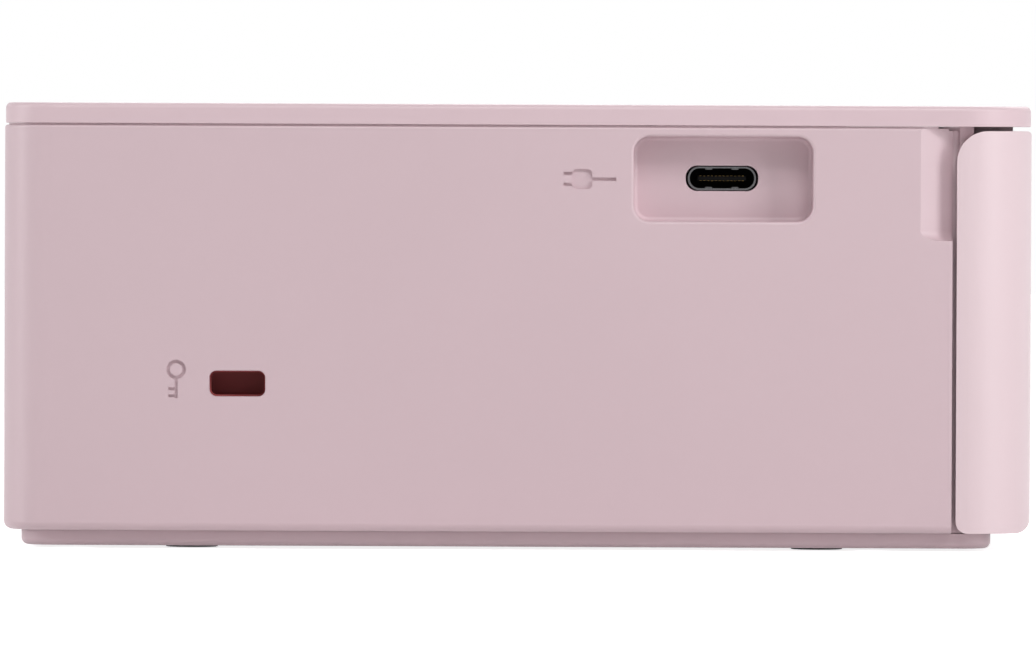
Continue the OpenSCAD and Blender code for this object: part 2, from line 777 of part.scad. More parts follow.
module chassis_right() {
    color(steel) difference() {
        union() {
            along_x([right_x, right_x + plate_t]) polygon([[plate_y[0], skirt_z],
                [plate_y[1], skirt_z], [plate_y[1], ear_top], [ear_y, ear_top], [ear_y, 28],
                [pinch[0] + 3, 28], [pinch[0] + 3, 31.2], [pinch[0] - 3, 31.2],
                [pinch[0] - 3, 28], [takeup[0] - 12, 28], [takeup[0] - 12, 46], [plate_y[0], 46]]);
            for (y = feet_y) plate_foot([right_x + plate_t - 0.5, right_x + plate_t + 7], y);
        }
        shaft_holes([right_x - 1, right_x + plate_t + 0.1]);
    }
}

module chassis_tie() {
    color(steel) {
        block([left_x, right_x], [plate_y[0], plate_y[0] + 1.2], [31, 46]);
        block([left_x, right_x], [plate_y[1] - 3.4, plate_y[1]], [21.2, 22.8]);
    }
}

module bay_guide() {
    x = [bay_x0 - 1.5, bay_x1 + 1.5];
    y = [front_y + 2.1, pickup[0] + 12];
    color(grey) difference() {
        union() {
            block(x, y, [bay_z0 - 1.6, bay_z0]);
            for (s = [[x[0], bay_x0], [bay_x1, x[1]]])
                block(s, [y[0], y[1] - 4.8], [bay_z0 - 1, bay_z1 - 2]);
            for (r = [mid_x - 44, mid_x - 1, mid_x + 42])
                block([r, r + 2], [y[0] + 3, y[1] - 2], [skirt_z, bay_z0 - 1]);
            for (s = [lift_x[0] - 3, lift_x[1] + 0.8])
                block([s, s + 2.2], [lift_y - 2.5, y[1]], [bay_z0 - 0.5, lift_z + 2.2]);
        }
        xcyl(3, [x[0] - 1, x[1] + 1], pickup);
        xcyl(1.2 + play, [lift_x[0] - 5, lift_x[1] + 5], [lift_y, lift_z]);
    }
}

lift_x = [mid_x - 24, mid_x + 24];
lift_y = pickup[0] + 9;
lift_z = bay_z0 + 1.7;
module lift_arm() {
    y = [lift_y - 15, lift_y];
    color(white) {
        block(lift_x, y, [lift_z - 1.2, lift_z + 0.2]);
        xcyl(1.2, [lift_x[0] - 2.8, lift_x[1] + 2.8], [lift_y, lift_z]);
        block([lift_x[0] + 14, lift_x[1] - 14], [y[0], y[0] + 5], [lift_z, lift_z + 1]);
    }
}

module paper_guides() {
    color(grey) {
        translate([0, platen[0], 0]) along_x([left_x, right_x])
            polygon([[-16.5, 13], [-15.4, 12.3], [-5.8, 21.6], [-5.8, 23.6], [-7, 23.6]]);
        block([left_x, right_x], [grip[0] + 4.2, in_y - slack], [path_z - 1.8, path_z - 0.6]);
    }
}

// ---- Rollers ----

function gear_points(n) = let (p = 360 / n, r = pitch_r(n), lo = r - 1.1 * gear_m,
    hi = r + 0.75 * gear_m)
    [for (k = [0 : n - 1], c = [[-0.27, lo], [-0.12, hi], [0.12, hi], [0.27, lo]])
        c[1] * [cos((k + c[0]) * p), sin((k + c[0]) * p)]];

// A gear about an X axis; turn is the angle of one of its teeth
module gear(n, x, at, turn, bore) {
    translate([x[0], at[0], at[1]]) rotate([90, 0, 90]) rotate(turn)
        linear_extrude(x[1] - x[0]) difference() {
            polygon(gear_points(n));
            circle(bore);
        }
}

near = [near_x - gear_t, near_x];
far = [far_x - far_t, far_x];
roller_x = [left_x + 5, right_x - 5];
shaft_x = [out_x - 0.7, right_x + plate_t + 0.8];

module pickup_roller() {
    color(dark) for (x = [mid_x - 20, mid_x + 6]) xcyl(pickup_r, [x, x + 14], pickup);
    color(steel) xcyl(2, [near[0], shaft_x[1]], pickup);
    color(white) gear(pickup_n, near, pickup, pickup_turn, 1.9);
}

module platen_roller() {
    color(dark) xcyl(platen_r, roller_x, platen);
    color(steel) xcyl(2.5, shaft_x, platen);
}

module grip_roller() {
    color(steel) {
        xcyl(grip_r, roller_x, grip);
        xcyl(2, [near[0], shaft_x[1]], grip);
    }
    color(white) gear(grip_n, near, grip, 0, 1.9);
}

module pinch_roller() {
    color(grey) {
        xcyl(pinch_r, roller_x, pinch);
        xcyl(pin_r, [shaft_x[0], right_x + plate_t - 0.1], pinch);
    }
}

module shaft_bushes() {
    color(brass) for (b = bearings, side = [[out_x, left_x, 1], [right_x + plate_t, right_x, -1]])
        difference() {
            union() {
                xcyl(b[1] + play + bush_t, [min(side[0], side[1]), max(side[0], side[1])], b[0]);
                xcyl(b[1] + play + bush_t + 0.5, side[2] > 0 ? [left_x, left_x + 0.8]
                    : [right_x - 0.8, right_x], b[0]);
            }
            xcyl(b[1] + play, [min(side[0], side[1]) - 1, max(side[0], side[1]) + 1], b[0]);
        }
}

// ---- Print head ----

ear_in = 0.4;
arm_x = [left_x + ear_in, right_x - 1.3];
arm_y = nose[0] - 8;
spring_r = 2.9;
wire_r = 0.35;
module head_arm() {
    color(steel) {
        difference() {
            block(arm_x, [arm_y, arm_pivot[0] + 1.5], [arm_z, arm_z + arm_t]);
            for (x = [arm_x[0] + arm_t, arm_x[1] - arm_t - 7.5])
                block([x, x + 7.5], [arm_pivot[0] - 4, arm_pivot[0] + 2], [arm_z - 1, arm_z + 2]);
        }
        block(roller_x, [arm_y, arm_y + arm_t], [arm_z - 2.7, arm_z + 0.5]);
        for (x = [arm_x[0], arm_x[1] - arm_t])
            block([x, x + arm_t], [arm_pivot[0] - 2, arm_pivot[0] + 2],
                [arm_pivot[1] - 2, arm_pivot[1] + 2]);
        block([arm_x[0], arm_x[0] + arm_t], [pin_at[0] - 4, pin_at[0] + 4],
            [pin_at[1] - 2.5, arm_z + 0.5]);
        xcyl(pin_r, [out_x - 0.3, arm_x[0] + 7], arm_pivot);
        xcyl(pin_r, [arm_x[1] - 7, right_x + plate_t + 0.3], arm_pivot);
        xcyl(pin_r, [far[0] - 0.3, arm_x[0] + arm_t], pin_at);
    }
}

head_x = [left_x + 8, right_x - 8];
head_top = 36;
module thermal_head() {
    color(white) along_x(head_x) polygon([nose + [-0.6, 0], nose + [0.6, 0], nose + [5.5, 5.1],
        [nose[0] + 5.5, head_top], [nose[0] - 5.5, head_top], nose + [-5.5, 5.1]]);
}

module heat_sink() {
    color(steel) {
        block(head_x, [nose[0] - 6.5, nose[0] + 9.5], [head_top, head_top + 2]);
        for (y = [nose[0] - 6.3 : 3.6 : nose[0] + 8.2])
            block(head_x, [y, y + 1.2], [head_top + 1, arm_z]);
    }
}

// The cam's radius falls evenly over half a turn as the arm swings down
pin_arm = pin_at - arm_pivot;
pin_drop = pin_arm[1] - pin_arm[0] * sin(head_swing) - pin_arm[1] * cos(head_swing);
cam_r = pin_at[1] - cam_axis[1] - pin_r - 0.25;
module head_cam() {
    color(white) translate([far[0], cam_axis[0], cam_axis[1]]) rotate([90, 0, 90])
        linear_extrude(far_t) difference() {
            polygon([for (t = [0 : 6 : 354])
                (cam_r - pin_drop * (t <= 180 ? t : 360 - t) / 180) * [sin(t), cos(t)]]);
            circle(stud + play);
        }
}

// A wire coil about an X axis
spring_turns = 5;
ring_steps = 12;
wire_sides = 6;
module coil(x, at) {
    rings = spring_turns * ring_steps;
    points = [for (i = [0 : rings], j = [0 : wire_sides - 1])
        let (a = 360 * i / ring_steps, b = 360 * j / wire_sides, r = spring_r + wire_r * cos(b))
        [x[0] + (x[1] - x[0]) * i / rings + wire_r * sin(b), at[0] + r * cos(a),
            at[1] + r * sin(a)]];
    faces = concat([[for (j = [0 : wire_sides - 1]) j]],
        [[for (j = [wire_sides - 1 : -1 : 0]) rings * wire_sides + j]],
        [for (i = [0 : rings - 1], j = [0 : wire_sides - 1]) let (k = (j + 1) % wire_sides)
            [i * wire_sides + j, (i + 1) * wire_sides + j, (i + 1) * wire_sides + k,
                i * wire_sides + k]]);
    polyhedron(points, faces);
}

module head_springs() {
    color(steel) for (x = [arm_x[0] + 2, arm_x[1] - 7]) coil([x, x + 5], arm_pivot);
}

// ---- Motors and gears ----

motor_long = 24;
module motor(r, at, long) {
    difference() {
        union() {
            xcyl(r, [left_x, left_x + long], at);
            xcyl(2.5, [out_x, left_x + 1], at);
            xcyl(2, [left_x + long - 1, left_x + long + 1], at);
        }
        xcyl(1 + play, [out_x - 1, left_x + 6], at);
    }
}

module feed_motor() { color(steel) motor(8, feed_axis, motor_long); }
module ribbon_motor() { color(steel) motor(7.5, drive_axis, motor_long - 3); }

module feed_pinion() {
    color(brass) {
        gear(pinion_n, far, feed_axis, pinion_turn, 0.9);
        xcyl(1, [far[0], left_x + 5], feed_axis);
    }
}

module reduction_gear() {
    color(white) {
        gear(reduction_n, far, reduction, 0, stud + play);
        gear(step_n, near, reduction, step_turn, stud + play);
        difference() {
            xcyl(2.6, [far[1] - 0.2, near[0] + 0.2], reduction);
            xcyl(stud + play, [far[0], near[1]], reduction);
        }
    }
}

module pickup_idler() { color(white) gear(idler_n, near, idler, idler_turn, stud + play); }

module ribbon_pinion() {
    color(brass) {
        gear(pinion_n, near, drive_axis, ribbon_pinion_turn, 0.9);
        xcyl(1, [near[0], left_x + 5], drive_axis);
    }
}

module ribbon_idler() {
    color(white) gear(ribbon_idler_n, near, ribbon_idler_at, ribbon_idler_turn, stud + play);
}

// ---- Ribbon cassette and its drive ----

frame_x = [[left_x + 2.6, left_x + 4.2], [right_x - 2.1, right_x - 0.5]];
journal_r = 2.5;
dog_r = 1.6;
film_x = [head_x[0], head_x[1]];
core_x = [frame_x[0][1] + 0.2, frame_x[1][0] - 0.3];
bar_at = [[print_y - 8.3, 29.65], [print_y + 8.3, 29.65]];
bar_r = 0.8;
grip_end = half_w - 11.1;

module take_up_gear() {
    color(white) {
        gear(takeup_n, near, takeup, 0, 2.9);
        xcyl(3, [near[0], frame_x[0][0] - 0.3], takeup);
        xcyl(dog_r, [near[0], frame_x[0][0] + 4], takeup);
    }
}

module spool(at, r) {
    xcyl(3.4, core_x, at);
    xcyl(journal_r, [frame_x[0][0] + 0.1, frame_x[1][1] - 0.1], at);
    xcyl(r, film_x, at);
}

module take_up_spool() {
    color(dark) difference() {
        spool(takeup, takeup_r);
        xcyl(dog_r + play, [frame_x[0][0] - 1, frame_x[0][0] + 4.5], takeup);
    }
}

module supply_spool() { color(dark) spool(supply, supply_r); }

module tube(at, cut_y) {
    along_x([frame_x[0][1] - 0.2, frame_x[1][0] + 0.2]) difference() {
        translate(at) circle(tube_r);
        translate(at) circle(tube_r - 1.2);
        translate([cut_y[0], spool_z - 10]) square([cut_y[1] - cut_y[0], 6]);
    }
}

module ribbon_frame() {
    color(white) {
        tube(takeup, [takeup[0] - 1, takeup[0] + 10]);
        tube(supply, [supply[0] - 10, supply[0] + 1]);
        for (x = frame_x) difference() {
            union() {
                for (p = [takeup, supply]) xcyl(tube_r, x, p);
                block(x, [takeup[0], supply[0]], [spool_z - 4.6, spool_z + 3.4]);
                for (p = bar_at) block(x, [p[0] - 1.7, p[0] + 1.7], [p[1] - 1.2, spool_z - 2.6]);
            }
            for (p = [takeup, supply]) xcyl(journal_r + play, [x[0] - 1, x[1] + 1], p);
        }
        for (p = bar_at) xcyl(bar_r, [frame_x[0][1] - 0.2, frame_x[1][0] + 0.2], p);
        block([frame_x[1][1] - 0.2, grip_end], [print_y - 14, print_y + 14],
            [spool_z - 1.6, spool_z + 1.4]);
        block([grip_end - 2, grip_end], [print_y - 14, print_y + 14],
            [spool_z - 4.6, spool_z + 4.4]);
    }
}

// The film runs from the supply roll over two bars and under the head
module ribbon_film() {
    top = spool_z - 6.98;
    low = path_z + 0.2;
    run = [[supply[0], top], [print_y + 8, top], [print_y + 0.8, low], [print_y - 0.8, low],
        [print_y - 8, top],
        [takeup[0], spool_z - takeup_r - 0.15]];
    drop = [for (i = [len(run) - 1 : -1 : 0]) run[i] - [0, film_t]];
    color(dark) along_x(film_x) polygon(concat(run, drop));
}

liner_y = [side_y[0] + 3.8, side_y[1] + 1.2];
liner_z = [side_z[0] + 5.4, side_z[1] - 2.6];
liner_t = 1.2;
lever_x = [half_w - 8.1, half_w - 6.5];
lever_y = [liner_y[0] + 5.2, liner_y[0] + 11.2];
module bay_liner() {
    x = [right_x + plate_t, half_w - 3.6];
    color(grey) difference() {
        block(x, liner_y, liner_z);
        block([x[0] - 1, x[1] + 1], [liner_y[0] + liner_t, liner_y[1] - liner_t],
            [liner_z[0] + liner_t, liner_z[1] - liner_t]);
        block([lever_x[0] - 0.2, lever_x[1] + 0.2], [lever_y[0] + 0.8, lever_y[1] - 0.8],
            [liner_z[0] - 7, liner_z[0] + 3]);
    }
}

module eject_lever() {
    color(white) {
        block(lever_x, lever_y, [liner_z[0] + liner_t + 0.1, liner_z[0] + 9]);
        block(lever_x, [lever_y[0] + 1, lever_y[1] - 1], [liner_z[0] - 5, liner_z[0] + 2]);
        block([lever_x[0] - 1, lever_x[1] + 1], [lever_y[0] - 0.5, lever_y[1] + 0.5],
            [liner_z[0] - 5.5, liner_z[0] - 4.3]);
    }
}

base_cover();
rubber_feet();
base_screws();
body_shell();
front_frame();
front_panel();
top_cover();
lcd_window();
lcd_module();
control_board();
tact_switches();
power_key();
menu_key();
back_key();
ok_key();
up_key();
down_key();
left_key();
right_key();
print_key();
front_door();
ribbon_door();
usb_shell();
usb_tongue();
usb_board();
lock_plate();
dc_jack();
card_reader();
main_board();
board_parts();
chassis_left();
chassis_right();
chassis_tie();
bay_guide();
paper_guides();
lift_arm();
pickup_roller();
platen_roller();
grip_roller();
pinch_roller();
shaft_bushes();
head_arm();
thermal_head();
heat_sink();
head_cam();
head_springs();
feed_motor();
feed_pinion();
reduction_gear();
pickup_idler();
ribbon_motor();
ribbon_pinion();
ribbon_idler();
take_up_gear();
take_up_spool();
supply_spool();
ribbon_frame();
ribbon_film();
bay_liner();
eject_lever();
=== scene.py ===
import logging
import math
from dataclasses import dataclass, field
from enum import Enum
from typing import Callable, Protocol, Sequence

import bmesh
import bpy
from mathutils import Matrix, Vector


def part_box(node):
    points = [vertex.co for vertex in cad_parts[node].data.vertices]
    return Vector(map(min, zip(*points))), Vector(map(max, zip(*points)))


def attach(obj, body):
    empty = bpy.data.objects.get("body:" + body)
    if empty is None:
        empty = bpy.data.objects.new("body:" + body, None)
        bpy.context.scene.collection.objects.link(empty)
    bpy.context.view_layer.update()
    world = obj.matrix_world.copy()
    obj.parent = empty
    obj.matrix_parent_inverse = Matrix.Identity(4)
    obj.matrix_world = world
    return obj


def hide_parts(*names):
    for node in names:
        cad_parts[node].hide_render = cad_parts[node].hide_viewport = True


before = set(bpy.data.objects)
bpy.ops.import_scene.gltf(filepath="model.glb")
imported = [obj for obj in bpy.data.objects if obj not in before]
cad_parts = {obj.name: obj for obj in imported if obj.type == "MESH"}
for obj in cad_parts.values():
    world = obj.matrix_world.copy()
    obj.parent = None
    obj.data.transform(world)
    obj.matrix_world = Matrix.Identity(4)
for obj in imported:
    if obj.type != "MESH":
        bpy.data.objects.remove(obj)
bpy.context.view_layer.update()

logging.basicConfig(level=logging.INFO, format="%(message)s")
log = logging.getLogger("printer")

MM = 0.001
Point = Sequence[float]
Span = tuple[float, float]
Colour = tuple[float, float, float]
Piece = bpy.types.Object
Socket = bpy.types.NodeSocket
Material = bpy.types.Material
EdgeTest = Callable[[Vector, Vector], bool]

# Places and sizes that more than one piece takes, in millimetres
DOOR_HINGE: Span = (-63.6, 4.4)
HINGE_BRACKETS: tuple[Span, Span] = ((-84.0, -81.0), (46.0, 49.0))
SCREWS: tuple[Span, ...] = tuple((x, y) for x in (-84.5, 84.5) for y in (-46.0, 57.5))
FEET_AT: tuple[Span, ...] = tuple((x, y) for x in (-78.0, 78.0) for y in (-38.9, 42.25))
DATA_SOCKET: Span = (-26.3, 48.15)
JACK: Span = (75.0, 14.5)
WALL: float = 2.2
FRONT_R: float = 9.9
LID_THICK: float = 2.65
PIN_R: float = 0.8


class Axis(Enum):
    """The axis that a round piece is turned about."""

    X = (0.0, math.pi / 2, 0.0)
    Y = (math.pi / 2, 0.0, 0.0)
    Z = (0.0, 0.0, 0.0)


def span(node: str, axis: int) -> Span:
    """Reads a CAD node's lowest and highest value along axis 0, 1 or 2, in millimetres."""
    low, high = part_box(node)
    return low[axis] / MM, high[axis] / MM


# ---------------------------------------------------------------- finishes


class Finish(Protocol):
    """What every finish has: its own name, the record's slot and a way to build its material."""

    name: str
    slot: str

    def material(self) -> Material:
        """Builds the material."""


class Shader:
    """A node material with the few moves that every finish here needs."""

    def __init__(self, name: str) -> None:
        """Starts an empty material with one Principled shader.

        Args:
            name: Name of the material.
        """
        self.material = bpy.data.materials.new(name)
        self.material.use_nodes = True
        self.nodes = self.material.node_tree.nodes
        self.links = self.material.node_tree.links
        self.surface = self.nodes["Principled BSDF"]
        self.place = self.nodes.new("ShaderNodeTexCoord")

    def set(self, **values: float) -> None:
        """Sets plain values on the shader's own sockets."""
        for name, value in values.items():
            self.surface.inputs[name.replace("_", " ")].default_value = value

    def stretched(self, scale: Point) -> Socket:
        """Object coordinates, stretched along the axes.

        Args:
            scale: Factor along X, Y and Z.

        Returns:
            The vector socket of the mapping.
        """
        mapping = self.nodes.new("ShaderNodeMapping")
        mapping.inputs["Scale"].default_value = scale
        self.links.new(self.place.outputs["Object"], mapping.inputs["Vector"])
        return mapping.outputs["Vector"]

    def noise(self, scale: float, detail: float = 2.0, stretch: Point = (1, 1, 1)) -> Socket:
        """Adds a noise pattern.

        Args:
            scale: Cells per metre.
            detail: Octaves of the noise.
            stretch: Factor along X, Y and Z before the noise.

        Returns:
            The factor socket of the noise.
        """
        texture = self.nodes.new("ShaderNodeTexNoise")
        texture.inputs["Scale"].default_value = scale
        texture.inputs["Detail"].default_value = detail
        self.links.new(self.stretched(stretch), texture.inputs["Vector"])
        return texture.outputs["Fac"]

    def ramp(self, value: Socket, low: float, high: float,
            span_in: Span = (0.3, 0.7)) -> Socket:
        """Maps a pattern to a range of values.

        Args:
            value: The pattern's socket.
            low: Result at the lower input.
            high: Result at the upper input.
            span_in: The two inputs.

        Returns:
            The socket with the mapped value.
        """
        node = self.nodes.new("ShaderNodeMapRange")
        node.inputs["From Min"].default_value = span_in[0]
        node.inputs["From Max"].default_value = span_in[1]
        node.inputs["To Min"].default_value = low
        node.inputs["To Max"].default_value = high
        self.links.new(value, node.inputs["Value"])
        return node.outputs["Result"]

    def blend(self, amount: Socket, first: Point, second: Point) -> Socket:
        """Blends two colours by a pattern.

        Args:
            amount: The pattern's socket, 0 for the first colour.
            first: Linear colour, red, green and blue.
            second: The other colour.

        Returns:
            The colour socket.
        """
        mix = self.nodes.new("ShaderNodeMix")
        mix.data_type = "RGBA"
        mix.inputs["A"].default_value = (*first, 1.0)
        mix.inputs["B"].default_value = (*second, 1.0)
        self.links.new(amount, mix.inputs["Factor"])
        return mix.outputs["Result"]

    def feed(self, socket: Socket, name: str) -> None:
        """Links a socket to one of the shader's inputs."""
        self.links.new(socket, self.surface.inputs[name])

    def bump(self, height: Socket, strength: float, depth: float) -> None:
        """Gives the surface a relief.

        Args:
            height: The pattern's socket.
            strength: Share of the relief that is used.
            depth: Depth of the relief in millimetres.
        """
        node = self.nodes.new("ShaderNodeBump")
        node.inputs["Strength"].default_value = strength
        node.inputs["Distance"].default_value = depth * MM
        self.links.new(height, node.inputs["Height"])
        self.feed(node.outputs["Normal"], "Normal")


def tint(colour: Point, factor: float) -> Colour:
    """Makes a linear colour lighter or darker by a factor."""
    return tuple(min(1.0, c * factor) for c in colour)


@dataclass(frozen=True)
class MouldedPlastic:
    """Spark-eroded plastic: a fine even grain, and a faint drift in colour and gloss."""

    name: str
    slot: str
    colour: Colour
    roughness: float = 0.42
    grain: float = 2600.0
    relief: float = 0.012
    drift: float = 0.015
    coat: float = 0.0
    gloss: float = 0.5

    def material(self) -> Material:
        """Builds the material.

        Returns:
            The material, with all its nodes linked.
        """
        shader = Shader(self.name)
        cloud = shader.noise(18.0, 3.0)
        shader.feed(shader.blend(shader.ramp(cloud, 0.0, 1.0), tint(self.colour, 1 - self.drift),
            tint(self.colour, 1 + self.drift)), "Base Color")
        speckle = shader.noise(self.grain, 3.0)
        shader.feed(shader.ramp(speckle, self.roughness - 0.04, self.roughness + 0.04), "Roughness")
        shader.bump(speckle, 0.35, self.relief)
        shader.set(Coat_Weight=self.coat, Specular_IOR_Level=self.gloss)
        return shader.material


@dataclass(frozen=True)
class GlossWindow:
    """Hard-coated black window: the display's area is a touch lighter than the printed border."""

    name: str
    slot: str
    middle: Span
    view: Span
    border: Colour = (0.006, 0.006, 0.007)
    display: Colour = (0.014, 0.015, 0.018)

    def material(self) -> Material:
        """Builds the material.

        Returns:
            The material, with all its nodes linked.
        """
        shader = Shader(self.name)
        split = shader.nodes.new("ShaderNodeSeparateXYZ")
        shader.links.new(shader.place.outputs["Object"], split.inputs["Vector"])
        inside = None
        for axis, middle, size in zip("XY", self.middle, self.view):
            away = shader.nodes.new("ShaderNodeMath")
            away.operation = "SUBTRACT"
            away.inputs[1].default_value = middle * MM
            shader.links.new(split.outputs[axis], away.inputs[0])
            near = shader.nodes.new("ShaderNodeMath")
            near.operation = "COMPARE"
            near.inputs[1].default_value = 0.0
            near.inputs[2].default_value = size / 2 * MM
            shader.links.new(away.outputs[0], near.inputs[0])
            if inside is None:
                inside = near.outputs[0]
                continue
            both = shader.nodes.new("ShaderNodeMath")
            both.operation = "MULTIPLY"
            shader.links.new(inside, both.inputs[0])
            shader.links.new(near.outputs[0], both.inputs[1])
            inside = both.outputs[0]
        shader.feed(shader.blend(inside, self.border, self.display), "Base Color")
        smear = shader.noise(35.0, 4.0, (1.0, 2.5, 1.0))
        shader.feed(shader.ramp(smear, 0.04, 0.09), "Roughness")
        shader.set(Coat_Weight=0.25, Coat_Roughness=0.03, Specular_IOR_Level=0.3)
        return shader.material


@dataclass(frozen=True)
class SheetMetal:
    """Metal with rolling or turning marks along one direction."""

    name: str
    slot: str
    colour: Colour
    roughness: float = 0.32
    brush: Point = (40.0, 1.0, 40.0)
    relief: float = 0.006

    def material(self) -> Material:
        """Builds the material.

        Returns:
            The material, with all its nodes linked.
        """
        shader = Shader(self.name)
        marks = shader.noise(90.0, 4.0, self.brush)
        shader.feed(shader.blend(shader.ramp(marks, 0.0, 1.0), tint(self.colour, 0.92),
            tint(self.colour, 1.05)), "Base Color")
        shader.feed(shader.ramp(marks, self.roughness - 0.08, self.roughness + 0.08), "Roughness")
        shader.bump(marks, 0.3, self.relief)
        shader.set(Metallic=1.0)
        return shader.material


@dataclass(frozen=True)
class Rubber:
    """Matt rubber with a fine ground grain and a little dust in it."""

    name: str
    slot: str
    colour: Colour = (0.022, 0.022, 0.024)

    def material(self) -> Material:
        """Builds the material.

        Returns:
            The material, with all its nodes linked.
        """
        shader = Shader(self.name)
        dust = shader.noise(260.0, 5.0)
        shader.feed(shader.blend(shader.ramp(dust, 0.0, 1.0, (0.45, 0.8)), self.colour,
            tint(self.colour, 1.8)), "Base Color")
        grain = shader.noise(3200.0, 2.0)
        shader.feed(shader.ramp(grain, 0.72, 0.88), "Roughness")
        shader.bump(grain, 0.5, 0.03)
        return shader.material


@dataclass(frozen=True)
class CircuitBoard:
    """Solder mask over copper tracks, which show as slightly lighter lines."""

    name: str
    slot: str
    mask: Colour = (0.010, 0.085, 0.040)
    track: Colour = (0.022, 0.150, 0.070)

    def material(self) -> Material:
        """Builds the material.

        Returns:
            The material, with all its nodes linked.
        """
        shader = Shader(self.name)
        tracks = shader.nodes.new("ShaderNodeTexBrick")
        tracks.inputs["Scale"].default_value = 420.0
        tracks.inputs["Mortar Size"].default_value = 0.09
        tracks.inputs["Color1"].default_value = (*self.mask, 1.0)
        tracks.inputs["Color2"].default_value = (*tint(self.mask, 1.1), 1.0)
        tracks.inputs["Mortar"].default_value = (*self.track, 1.0)
        shader.links.new(shader.stretched((1.0, 1.0, 0.0)), tracks.inputs["Vector"])
        shader.feed(tracks.outputs["Color"], "Base Color")
        shader.feed(shader.ramp(shader.noise(300.0), 0.28, 0.36), "Roughness")
        shader.bump(tracks.outputs["Fac"], 0.4, 0.03)
        return shader.material


@dataclass(frozen=True)
class PrintFilm:
    """Dye film: yellow, magenta, cyan and clear panels follow each other along the web."""

    name: str
    slot: str
    panel: float = 12.0

    def material(self) -> Material:
        """Builds the material.

        Returns:
            The material, with all its nodes linked.
        """
        shader = Shader(self.name)
        ramp = shader.nodes.new("ShaderNodeValToRGB")
        ramp.color_ramp.interpolation = "CONSTANT"
        dyes = [(0.75, 0.55, 0.02), (0.45, 0.01, 0.12), (0.01, 0.16, 0.35), (0.30, 0.30, 0.31)]
        stops = ramp.color_ramp.elements
        for index, dye in enumerate(dyes):
            place = index / len(dyes)
            stop = stops[0] if index == 0 else stops.new(place)
            stop.position = place
            stop.color = (*dye, 1.0)
        wave = shader.nodes.new("ShaderNodeTexWave")
        wave.wave_profile = "SAW"
        wave.bands_direction = "Y"
        wave.inputs["Scale"].default_value = 1.0 / (self.panel * MM * 20.0)
        shader.links.new(shader.place.outputs["Object"], wave.inputs["Vector"])
        shader.links.new(wave.outputs["Fac"], ramp.inputs["Fac"])
        shader.feed(ramp.outputs["Color"], "Base Color")
        shader.feed(shader.ramp(shader.noise(120.0), 0.14, 0.22), "Roughness")
        return shader.material


# The finishes of the whole printer, each with the slot of the record that it belongs to
SHELL = MouldedPlastic("satin_pink_shell", "pink_shell", (0.625, 0.475, 0.512))
LID = MouldedPlastic("satin_pink_lid", "pink_shell", (0.665, 0.505, 0.544))
# The door's paler, less saturated pink is painted sheen and highlight: it stands in for the gloss that
# whitens the door and front corner under the lamps.
PINK_DOOR_PAINTED_SHEEN = MouldedPlastic("pink_door_painted_sheen", "pink_door", (0.712, 0.565, 0.598))
KEYS = MouldedPlastic("satin_pink_keys", "key_plastic", (0.700, 0.530, 0.560), roughness=0.38)
GLYPH = MouldedPlastic("printed_grey", "key_plastic", (0.120, 0.095, 0.100), roughness=0.5, drift=0.005)
DARK = MouldedPlastic("black_moulding", "dark_plastic", (0.018, 0.018, 0.020), roughness=0.45)
SOOT = MouldedPlastic("matt_black_moulding", "dark_plastic", (0.004, 0.004, 0.004), roughness=0.8, gloss=0.12)
# The lock plate's dark red is painted shade: it stands in for the shell's pink plastic seen in deep shade
# through the security slot.
LOCK_PLATE_PAINTED_SHADE = MouldedPlastic("lock_plate_painted_shade", "dark_plastic", (0.300, 0.058, 0.058), roughness=0.6, gloss=0.3)
GREY = MouldedPlastic("grey_moulding", "grey_plastic", (0.100, 0.100, 0.108), roughness=0.5)
WHITE = MouldedPlastic("natural_moulding", "white_plastic", (0.720, 0.715, 0.690), roughness=0.4)
CERAMIC = MouldedPlastic("glazed_ceramic", "ceramic", (0.780, 0.770, 0.740), roughness=0.15, coat=0.5)
FEET = Rubber("foot_rubber", "rubber_black")
ROLLERS = Rubber("ground_roller_rubber", "roller_rubber", (0.030, 0.030, 0.033))
# The socket shell's nickel is darkened as painted shade, so the inside of the mouth looks dark.
NICKEL_PAINTED_SHADE = SheetMetal("nickel_painted_shade", "steel_plate", (0.110, 0.108, 0.112), 0.22, (30.0, 30.0, 30.0), 0.002)
PLATE = SheetMetal("zinc_plated_plate", "steel_plate", (0.560, 0.565, 0.580))
GROUND = SheetMetal("ground_steel", "roller_steel", (0.580, 0.580, 0.590), 0.24, (1.0, 60.0, 60.0))
BRASS = SheetMetal("turned_brass", "brass", (0.640, 0.430, 0.160), 0.28, (60.0, 1.0, 1.0))
FINS = SheetMetal("extruded_fins", "aluminium", (0.660, 0.665, 0.680), 0.36, (1.0, 50.0, 50.0))
BOARD = CircuitBoard("solder_mask", "circuit_board")
FILM = PrintFilm("dye_film", "dark_plastic")
SCREEN = GlossWindow("hard_coated_window", "black_glass", (-22.0, 2.0), (80.0, 56.0))


# ---------------------------------------------------------------- modelling


